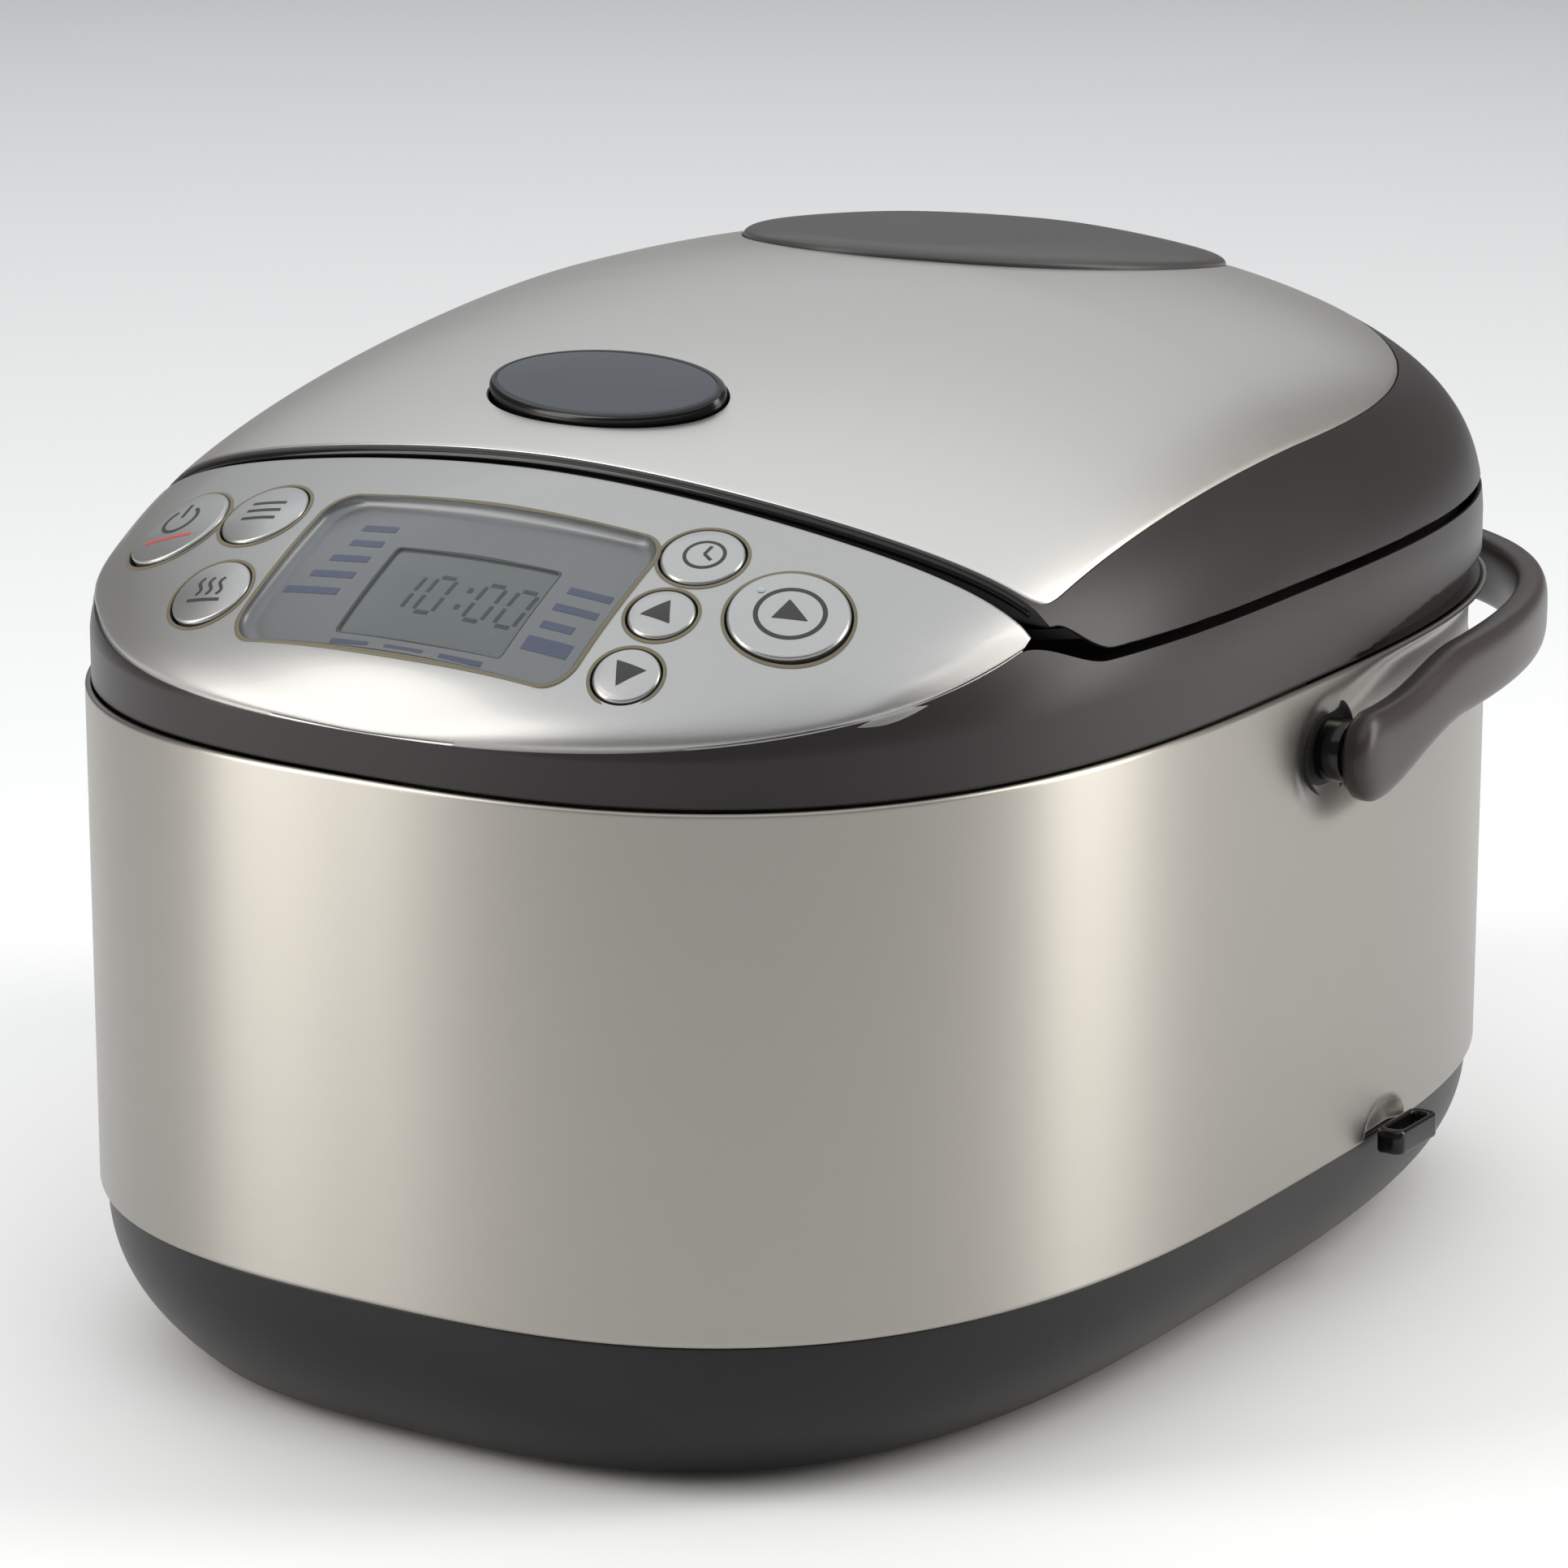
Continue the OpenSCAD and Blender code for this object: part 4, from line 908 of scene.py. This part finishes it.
SIGNS = {
    "cancel": [ring_line(0, 1.8, 4.6, 125, 415, 1.0), bar(0, 2.6, 0, 8.0, 1.0)],
    "menu": [bar(-4.8, y, 4.8, y, 1.0) for y in (3.2, 0.3, -2.6)],
    "warm": [wave(x, 1.0, 5.6, 0.75) for x in (-2.9, 0, 2.9)] + [bar(-4.6, -3.4, 4.6, -3.4, 0.95)],
    "timer": [
        ring_line(0.6, 0, 4.5, 0, 360, 0.85), bar(0.6, 0, 0.6, 3.1, 0.8, 5), bar(0.6, 0, 3.0, -1.2, 0.8, 5),
    ],
    "up": [filled([(-3.9, -2.5), (3.9, -2.5), (0, 4.0)])],
    "down": [filled([(3.9, 2.5), (-3.9, 2.5), (0, -4.0)])],
    "start": [ring_line(0.4, 0, 7.6, 0, 360, 1.1), filled([(-2.2, -3.5), (5.2, 0), (-2.2, 3.5)])],
}
for name, parts in SIGNS.items():
    size = KEYS[name][2]
    flat, faces = flat_join(parts)
    h = key_crown(np.hypot(flat[:, 0], flat[:, 1]), size) + 0.05
    sign = tangent(key_spots[name], flat, h)
    piece(name + "_sign", (sign, faces), name + "_key", ink_dark, ())
flat, faces = bar(-7.0, -5.4, 7.0, -5.4, 0.8, 12)
h = key_crown(np.hypot(flat[:, 0], flat[:, 1]), 13) + 0.05
underline = tangent(key_spots["cancel"], flat, h)
piece("cancel_underline", (underline, faces), "cancel_key", ink_red, ())
for name, x, y, r in (("timer", -5.6, 3.4, 0.8), ("start", -9.2, 2.6, 0.9)):
    a = np.linspace(0, math.pi / 2, 6)
    grid = turned(key_spots[name], r * np.cos(a), key_crown(9.0, KEYS[name][2]) + 0.1 + 0.25 * np.sin(a))
    o, sx, sy, n = key_spots[name]
    part = (grid + x * sx + y * sy)
    piece(name + "_lamp", shell(part, cap_last=True), name + "_key", lamp_grey, ())

# %% [markdown]
# Behind the window lies a bright frame with a grey-green liquid crystal glass in it. The digits are the
# usual seven bars. Plain rows of bars stand where the real cooker has small words.

# %% Display
SLANT = 0.08


def segments(lit, x, y, w=4.2, h=8.4):
    """The lit bars of a seven-bar digit whose lower left corner is at (x, y)."""
    ends = {
        "a": (0.6, h, w - 0.6, h), "b": (w, h - 0.6, w, h / 2 + 0.4), "c": (w, h / 2 - 0.4, w, 0.6),
        "d": (0.6, 0, w - 0.6, 0), "e": (0, 0.6, 0, h / 2 - 0.4), "f": (0, h / 2 + 0.4, 0, h - 0.6),
    }
    bars = []
    for x0, y0, x1, y1 in (ends[k] for k in lit):
        bars.append(bar(x + x0 + SLANT * y0, y + y0, x + x1 + SLANT * y1, y + y1, 0.85, 4))
    return bars


def plain_patch(cx, cv, w, d, h, nx=24, ny=14):
    """A rectangle laid on the dome at one height."""
    x, v = np.meshgrid(np.linspace(cx - w / 2, cx + w / 2, nx), np.linspace(cv - d / 2, cv + d / 2, ny))
    return on_dome(x, v, h).reshape(-1, 3), grid_faces(ny, nx)


window_mid = window_hole.mean(0)
shrunk = window_mid + (window_hole[::4] - window_mid) * 1.004
wall_rows = collar(shrunk, [0.1, -0.5, -1.2, -1.9, -2.3], [-0.3, -0.35, -0.5, -1.2, -2.6])
from_mid = shrunk - window_mid
inner_line = window_mid + from_mid * (1 - 2.6 / np.linalg.norm(from_mid, axis=1, keepdims=True))
LCD = (3, -144.0, 44.5, 24.5)
lcd_line = rounded(*LCD, 1.2, 300)
mask_xy = polar(inner_line, window_mid, np.linspace(1, 0.02, 60))
flat, faces = cut(mask_xy.reshape(-1, 2), grid_faces(60, len(inner_line), False, True), [lcd_line])
mask = join((on_dome(flat[:, 0], flat[:, 1], -2.3), faces), wall_rows)
piece("display_frame", mask, "body", mask_silver, "display_backing", 40, up=True)
lcd_rim = collar(lcd_line, [-2.3, -2.25, -2.5, -3.2], [0.5, 0.15, -0.1, -0.15])
piece("lcd_frame", lcd_rim, "body", ink_dark, (), 60)

lcd = Sheet("lcd_glass")
cells = lcd.noise(60.0, None, 2.0)
ink_lcd = moulded("ink_lcd", rgb(42, 52, 58), 0.3, 0.000002)
lcd_glass = lcd.set(
    Base_Color=lcd.mix(cells, rgb(72, 82, 80), rgb(84, 94, 90)),
    Roughness=(cells * 0.06 + 0.12), Coat_Weight=0.3, Normal=lcd.bump(cells, 0.000002),
)
pane = plain_patch(*LCD, -2.9)
piece("lcd_pane", pane, "body", lcd_glass, "lcd_module", 40, up=True)
digits = segments("bc", -9.5, -149)
for x in (-2.6, 8.4, 15.4):
    digits += segments("abcdef", x, -149)
for x, y in ((5.4, -147.2), (5.7, -143.2)):
    digits.append(filled([(x, y), (x + 1.1, y), (x + 1.1, y + 1.1), (x, y + 1.1)]))
digits += [bar(-12 + k * 6.6, -134.5, -8.4 + k * 6.6, -134.5, 0.7, 4) for k in range(5)]
digits += [bar(-12 + k * 8.0, -156.4, -7.4 + k * 8.0, -156.4, 0.7, 4) for k in range(4)]
flat, faces = flat_join(digits)
flat = (flat - [3.6, -145.4]) * [1.22, 1.2] + [3.4, -144.2]
shown = on_dome(flat[:, 0], flat[:, 1], -2.84)
piece("lcd_digits", (shown, faces), "body", ink_lcd, (), 40, up=True)
LEFT_ROWS = [(-33, -23.5), (-33, -24), (-35, -24.5), (-37, -25), (-41, -26)]
RIGHT_ROWS = [(30, 41.5), (29.5, 41), (29.5, 38)]
LOW_ROWS = [(-19, -9), (-4.5, 6), (10.5, 22)]
rows = [bar(x0, -126.4 - 4.9 * k, x1, -126.4 - 4.9 * k, 1.9) for k, (x0, x1) in enumerate(LEFT_ROWS)]
rows += [bar(x0, -136.0 - 5.0 * k, x1, -136.0 - 5.0 * k, 1.9) for k, (x0, x1) in enumerate(RIGHT_ROWS)]
rows += [bar(28.5, -151.2, 40.5, -151.2, 3.6)] + [bar(x0, -158.6, x1, -158.6, 1.2) for x0, x1 in LOW_ROWS]
flat, faces = flat_join(rows)
printed = on_dome(flat[:, 0], flat[:, 1], -2.22)
piece("display_rows", (printed, faces), "body", ink_blue, (), 40, up=True)

clear = Sheet("window_glass")
haze = clear.noise(30.0, None, 2.0)
window_glass = clear.set(
    Base_Color=clear.mix(haze, (0.10, 0.11, 0.12, 1), (0.15, 0.16, 0.17, 1)),
    Roughness=(haze * 0.03 + 0.04), Alpha=0.14, Specular_IOR_Level=0.5,
)
cover_line = window_hole[::4]
cover_pts = polar(cover_line, window_mid, np.linspace(1, 0.02, 40)).reshape(-1, 2)
cover_faces = grid_faces(40, len(cover_line), False, True)
cover_pts = np.vstack([on_dome(cover_pts[:, 0], cover_pts[:, 1], 0.1), on_dome(0, -139.5, 0.1)])
cover_faces += fan(range(39 * 300, 40 * 300), len(cover_pts) - 1)
cover = (cover_pts, cover_faces)
piece("window_cover", cover, "body", window_glass, "display_window", 40, up=True)

# %% [markdown]
# The steam vent is a removable cap with a smooth oval dish. It stands a few millimetres proud of the
# plate. Its top is the dome, raised by a cushion curve that falls steeply at the rim, minus the dish.

# %% Steam vent cap
VENT = np.array([0.0, 95.0])
vent_line = ellipse(0, 95, 57.2, 69.7, 420)


def vent_top(x, v):
    """Dome plus a low step that rounds off at the rim, minus a dish 4.2 deep with a crease round it."""
    f = np.clip(np.hypot(x / 57.2, (v - 95) / 69.7), 0, 1)
    r = np.clip(np.hypot(x / 36, (v - 79) / 47), 0, 1)
    return dome(x, v) + 0.4 + 2.0 * (1 - f**26) ** 0.5 - 4.2 * (1 - r * r)


near_rim = 1 - np.array([0.0, 0.0004, 0.0015, 0.004, 0.008, 0.014, 0.022, 0.032])
f_rows = np.concatenate([near_rim, np.linspace(0.955, 0.02, 76)])
vent_xy = polar(vent_line, VENT, f_rows)
slots = [rounded(5.4 * k, 140, 2.2, 14, 1.0, 200) for k in range(-2, 3)]
flat, faces = cut(vent_xy.reshape(-1, 2), grid_faces(len(f_rows), 420, False, True), slots)
vent_pts = np.column_stack([flat, vent_top(flat[:, 0], flat[:, 1])])
count = len(vent_pts)
vent_pts = np.vstack([vent_pts, [*VENT, vent_top(*VENT)]])
faces += fan(range((len(f_rows) - 1) * 420, len(f_rows) * 420), count)
skirt = []
for s, h in ((0.9, -2.4), (0.996, -2.4), (1.0, -2.1), (1.0, 0.4)):
    line = vent_line * s + VENT * (1 - s)
    skirt.append(np.column_stack([line, dome(*line.T) + h]))
# The slot walls and a floor 3 mm down are near-black: painted shade inside the slots.
slot_walls = []
for line in slots:
    zt = vent_top(line[:, 0], line[:, 1])
    slot_walls.append(shell(np.array([np.column_stack([line, zt - d]) for d in (0, 0.5, 3.0)]), cap_last=True))
neck_t = np.linspace(0, 2 * math.pi, 97)[:-1]
neck_rz = ((19.5, 236), (19.5, 222), (20.4, 222), (20.5, 222.4), (20.5, 238))
neck = [np.column_stack([r * np.cos(neck_t), 95 + r * np.sin(neck_t), np.full(96, z)]) for r, z in neck_rz]
vent_lid = join((vent_pts, faces), shell(np.array(skirt)), shell(np.array(neck)))
piece("vent_lid", vent_lid, "vent", vent_grey, "vent_cap", 40)
piece("vent_slots", join(*slot_walls), "vent", painted_gap_shade, (), 40)

# %% [markdown]
# The lid button is an oval cap in two parts: a satin top and a glossy bevel round it. Both are rings of
# the same oval at different sizes and heights.

# %% Lid button
def oval_rows(sizes, heights, count=240):
    """Rings of the oval shrunk by fixed millimetres, on the spot where the button sits."""
    ovals = [ellipse(-4, -1.5, 31.2 - s, 16.6 - s, count) for s in sizes]
    return np.array([tangent(BUTTON_SPOT, oval, h) for oval, h in zip(ovals, heights)])


bevel_a = np.linspace(0, math.pi / 2, 8)
rim_rows = oval_rows(
    np.concatenate([[0.0, 0.0], 1.5 * (1 - np.cos(bevel_a)), [1.9, 2.3]]),
    np.concatenate([[-6.5, 0.2], 0.4 + 1.5 * np.sin(bevel_a), [1.85, 1.5]]),
)
piece("button_bevel", shell(rim_rows), "release_button", gloss_black, (), 60)
top_s = np.concatenate([[2.0, 2.0, 2.1, 2.4, 2.9], np.linspace(3.6, 16.2, 14)])
share = 1 - (top_s - 2.0) / 14.6
top_h = 1.9 + 0.5 * (1 - share**2) + np.array([-0.5, -0.15, -0.06, -0.01, 0.0] + [0.0] * 14)
button_top = shell(oval_rows(top_s, top_h), cap_last=True)
piece("button_top", button_top, "release_button", button_grey, "lid_button", 40)

# %% [markdown]
# The carrying handle is one bent bar. A rounded section with a flatter inner side is carried along the
# arch. At both ends the section grows into a round boss on the pivot, and closes over it like a fingertip.

# %% Carrying handle
arch_t = np.radians(np.linspace(0.02, 179.98, 6000))
arch_x = 146 * np.sign(np.cos(arch_t)) * np.abs(np.cos(arch_t)) ** (2 / REAR_N)
arch = np.stack([arch_x, 204 * np.sin(arch_t) ** (2 / REAR_N)], -1)
arch = arch[arch[:, 1] >= PIVOT_V]
gap = np.concatenate([[0], np.cumsum(np.hypot(*np.diff(arch, axis=0).T))])
BOSS = 11.0
tip_s = -BOSS * np.cos(np.linspace(0, math.pi / 2, 14))
s_line = np.concatenate([tip_s, np.linspace(0, gap[-1], 300)[1:-1], gap[-1] - tip_s[::-1]])
hx = np.interp(s_line, gap, arch[:, 0])
hv = np.interp(s_line, gap, arch[:, 1])
hv = np.where(s_line < 0, arch[0, 1] + s_line, np.where(s_line > gap[-1], arch[-1, 1] - (s_line - gap[-1]), hv))
along = np.minimum(s_line, gap[-1] - s_line)
round_end = np.sqrt(np.clip(BOSS**2 - along**2, 0.0004, None))
half_h = np.where(along < 0, round_end, 9.0 + 2.0 * np.exp(-((along / 17) ** 2)))
half_w = np.where(along < 0, 4.2 * np.clip(1 - (np.abs(along) / BOSS) ** 3.2, 0.0004, 1) ** 0.4, 4.2)
tx, tv = np.gradient(hx), np.gradient(hv)
tn = np.hypot(tx, tv)
nx, nv = tv / tn, -tx / tn
phi = np.linspace(0, 2 * math.pi, 45)[:-1]
sec_w = np.sign(np.cos(phi)) * np.abs(np.cos(phi)) ** (2 / np.where(np.cos(phi) > 0, 2.5, 4.0))
sec_h = np.sign(np.sin(phi)) * np.abs(np.sin(phi)) ** (2 / 3.4)
hz = arm_line(hv)
handle = np.stack(
    [
        hx[:, None] + nx[:, None] * half_w[:, None] * sec_w[None],
        hv[:, None] + nv[:, None] * half_w[:, None] * sec_w[None],
        hz[:, None] + half_h[:, None] * sec_h[None],
    ],
    -1,
)
bail = shell(handle, cap_first=True, cap_last=True)
piece("handle_bar", bail, "carrying_handle", handle_grey, "handle", 50)
pin_r = np.array([0.3, 7.0, 7.5, 7.5, 7.0, 6.2, 6.2])
pin_x = np.array([129.5, 129.5, 130.2, 140.2, 140.9, 141.2, 142.6])
pins = []
for sign in (-1, 1):
    grid = np.stack([
        np.repeat((sign * pin_x)[:, None], 96, 1),
        PIVOT_V + pin_r[:, None] * np.cos(KEY_TURN)[None],
        PIVOT_Z + pin_r[:, None] * np.sin(KEY_TURN)[None],
    ], -1)
    pins.append(shell(grid, cap_first=True, cap_last=True))
# Cups round the pivots in the hollow of the steel; their near-black colour is painted shade of that hollow.
cups, cup_t = [], np.linspace(0, 2 * math.pi, 65)[:-1]
for side in (-1, 1):
    cup_x = np.array([131.0, 134.6, 135.3, 135.4, 135.0, 134.4, 134.4])
    cup_r = np.array([12.4, 12.4, 12.0, 11.4, 11.0, 10.4, 7.0])
    cup = []
    for x, r in zip(cup_x, cup_r):
        v, z = PIVOT_V + r * np.cos(cup_t), PIVOT_Z + side * r * np.sin(cup_t)
        cup.append(np.column_stack([np.full(64, side * x), v, z]))
    cups.append(shell(np.array(cup)))
piece("pivot_cups", join(*cups), "body", painted_gap_shade, (), 40)
piece("pivot_bosses", join(*pins), "body", gloss_black, "handle_pins", 40)

# %% [markdown]
# A small loop on the right side holds the rice spatula. It is an upright tube with a rectangular mouth,
# all of its edges rounded.

# %% Spatula loop
loop_out = rounded(140.6, 62, 7.2, 21, 2.4, 160)
loop_in = rounded(140.6, 62, 4.4, 15, 1.2, 160)
rows = []
loop_top = [(0, 40.8), (0.12, 41.35), (0.35, 41.6), (0.65, 41.6), (0.9, 41.3), (1, 40.7)]
loop_bottom = [(1, 36.3), (0.9, 35.7), (0.65, 35.4), (0.35, 35.4), (0.12, 35.65)]
for f, z in [(0, 36.2), *loop_top, *loop_bottom]:
    rows.append(np.column_stack([loop_out * (1 - f) + loop_in * f, np.full(160, z)]))
spatula_loop = shell(np.array(rows), close_rows=True)
piece("spatula_loop", spatula_loop, "body", gloss_black, "spatula_holder", 60)

# %% [markdown]
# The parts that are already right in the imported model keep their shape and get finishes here. Metals have
# fine turning or drawing marks, plastics a grain, and the pot a dark non-stick coating with a fine speckle.

# %% Finishes of the working parts
def plain_metal(name, colour, rough, mark=(400, 400, 60), depth=0.000004):
    s = Sheet(name)
    lines = s.noise(1.0, s.place(mark), 3.0, 0.6)
    stain = s.noise(25.0, None, 3.0)
    return s.set(
        Base_Color=s.mix(stain, scaled(colour, 0.88), scaled(colour, 1.08)),
        Metallic=1.0, Roughness=(rough + (lines - 0.5) * 0.14 + (stain - 0.5) * 0.08),
        Normal=s.bump(lines, depth),
    )


def coated(name, colour, speck, rough):
    s = Sheet(name)
    dots = s.add("ShaderNodeTexVoronoi", {"feature": "F1"}, {"Vector": s.place(), "Scale": 900.0}, 0)
    mask = dots < 0.16
    fine = s.noise(2400.0, None, 2.0)
    return s.set(
        Base_Color=s.mix(mask * 0.8, colour, speck), Roughness=(rough + (fine - 0.5) * 0.1), Coat_Weight=0.2,
        Normal=s.bump(fine, 0.000008),
    )


cast_aluminium = plain_metal("cast_aluminium", (0.62, 0.62, 0.63), 0.42, (300, 300, 300), 0.00002)
spring_wire = plain_metal("spring_wire", (0.55, 0.55, 0.56), 0.28)
bright_brass = plain_metal("bright_brass", (0.72, 0.56, 0.26), 0.25)
dark_iron = plain_metal("dark_iron", (0.20, 0.19, 0.185), 0.45)
screw_zinc = plain_metal("screw_zinc", (0.62, 0.62, 0.60), 0.3)
inner_steel = plain_metal("inner_steel", (0.66, 0.66, 0.67), 0.26, (900, 900, 40))
pot_coat = coated("pot_coat", rgb(58, 58, 60), rgb(120, 120, 122), 0.38)
board_green = coated("board_green", rgb(22, 74, 42), rgb(168, 150, 70), 0.4)
heater_cloth = moulded("heater_cloth", rgb(196, 188, 160), 0.7, 0.00005, 700.0)
relay_blue = moulded("relay_blue", rgb(40, 78, 140), 0.4)
sleeve_navy = moulded("sleeve_navy", rgb(28, 32, 58), 0.3)

# The panel carrier gets the painted gap shade finish, so that it reads as dark shade where it shows through the
# key gaps.
FINISH = {
    dark_satin: "base_shell power_inlet sensor_seat tact_switches inner_lid_knob steam_duct",
    gloss_black: "spatula_holder", foot_rubber: "rubber_feet", painted_gap_shade: "panel_carrier",
    grey_satin: "deck hinge_bracket lid_liner", silicone: "inner_lid_gasket vent_gasket",
    part_steel: "latch_catch pot_well heater_tube hinge_pin latch_hook", inner_steel: "inner_lid",
    cast_aluminium: "heater_plate sensor_cup", heater_cloth: "side_heater thermal_fuse lid_heater",
    spring_wire: "sensor_spring hinge_spring lid_button_springs", bright_brass: "inlet_pins",
    screw_zinc: "base_screws board_screws latch_pin", board_green: "power_board key_board",
    relay_blue: "relay", dark_iron: "transformer", sleeve_navy: "capacitors", pot_coat: "inner_pot",
}
finish_of = {name: finish for finish, names in FINISH.items() for name in names.split()}
for name, node in nodes.items():
    finish = finish_of.get(name, grey_satin)
    for slot in node.material_slots:
        slot.material = finish
print("finished", len(finish_of), "parts")

# %% [markdown]
# The cooker stands on a plain pale floor that runs far behind it.

# %% Floor
floor_sheet = Sheet("floor")
cloud = floor_sheet.noise(0.8, None, 2.0)
floor_paint = floor_sheet.set(
    Base_Color=floor_sheet.mix(cloud, (0.86, 0.86, 0.86, 1), (0.88, 0.88, 0.88, 1)),
    Roughness=(cloud * 0.05 + 0.75),
)
fx, fy = np.meshgrid(np.linspace(-9, 9, 13), np.linspace(-6, 12, 13))
floor_mesh = bpy.data.meshes.new("floor")
floor_pts = np.stack([fx, fy, np.zeros_like(fx)], -1).reshape(-1, 3)
floor_mesh.from_pydata(floor_pts.tolist(), [], grid_faces(13, 13))
floor_mesh.materials.append(floor_paint)
floor = bpy.data.objects.new("floor", floor_mesh)
scene.collection.objects.link(floor)

# %% [markdown]
# Upright strips on both sides draw the long pale bands that show how the steel curves. A large soft box
# overhead lights the lid and the floor, and one behind brightens the top of the lid plate. The camera
# stands a little to the right and looks down slightly, with a long lens.

# %% Lights
AIM = np.array([0.0, -0.0165, 0.12])


def facing(azimuth, elevation, distance):
    """Matrix of something on a sphere round the cooker that looks at its middle along its own -z."""
    az, el = math.radians(azimuth), math.radians(elevation)
    back = np.array([math.sin(az) * math.cos(el), -math.cos(az) * math.cos(el), math.sin(el)])
    right = np.array([math.cos(az), math.sin(az), 0.0])
    turn = np.eye(4)
    turn[:3] = np.column_stack([right, np.cross(back, right), back, AIM + back * distance])
    return Matrix(turn.tolist())


def soft_box(name, azimuth, elevation, distance, width, height, power, tint=(1, 1, 1)):
    """An area light that faces the cooker."""
    data = bpy.data.lights.new(name, "AREA")
    data.shape, data.size, data.size_y, data.energy, data.color = "RECTANGLE", width, height, power, tint
    lamp = bpy.data.objects.new(name, data)
    lamp.matrix_world = facing(azimuth, elevation, distance)
    lamp.visible_camera = False
    scene.collection.objects.link(lamp)
    print(name, "at", [round(c, 2) for c in lamp.matrix_world.translation])
    return lamp


soft_box("top_box", 20, 86, 2.2, 4.0, 4.0, 56, (0.93, 0.97, 1.0))
soft_box("back_box", 212, 36, 2.6, 3.0, 1.6, 9, (0.90, 0.95, 1.0))
soft_box("left_strip", -40, 24, 1.5, 0.54, 1.5, 14, (1.0, 0.97, 0.92))
soft_box("right_strip", 119, 24, 1.5, 0.48, 1.5, 16, (1.0, 0.97, 0.92))
world = bpy.data.worlds.new("room")
scene.world = world
world.use_nodes = True
world.node_tree.nodes["Background"].inputs[0].default_value = (1.0, 0.98, 0.96, 1)
world.node_tree.nodes["Background"].inputs[1].default_value = 0.22
scene.view_settings.view_transform = "Standard"

# %% Camera
cam = bpy.data.cameras.new("view")
cam.lens, cam.sensor_width, cam.clip_end = 137.1, 36.0, 50.0
camera = bpy.data.objects.new("view", cam)
camera.matrix_world = facing(32.48, 15.06, 1.4575)
scene.collection.objects.link(camera)
scene.camera = camera

# %% Finish
bpy.context.view_layer.update()
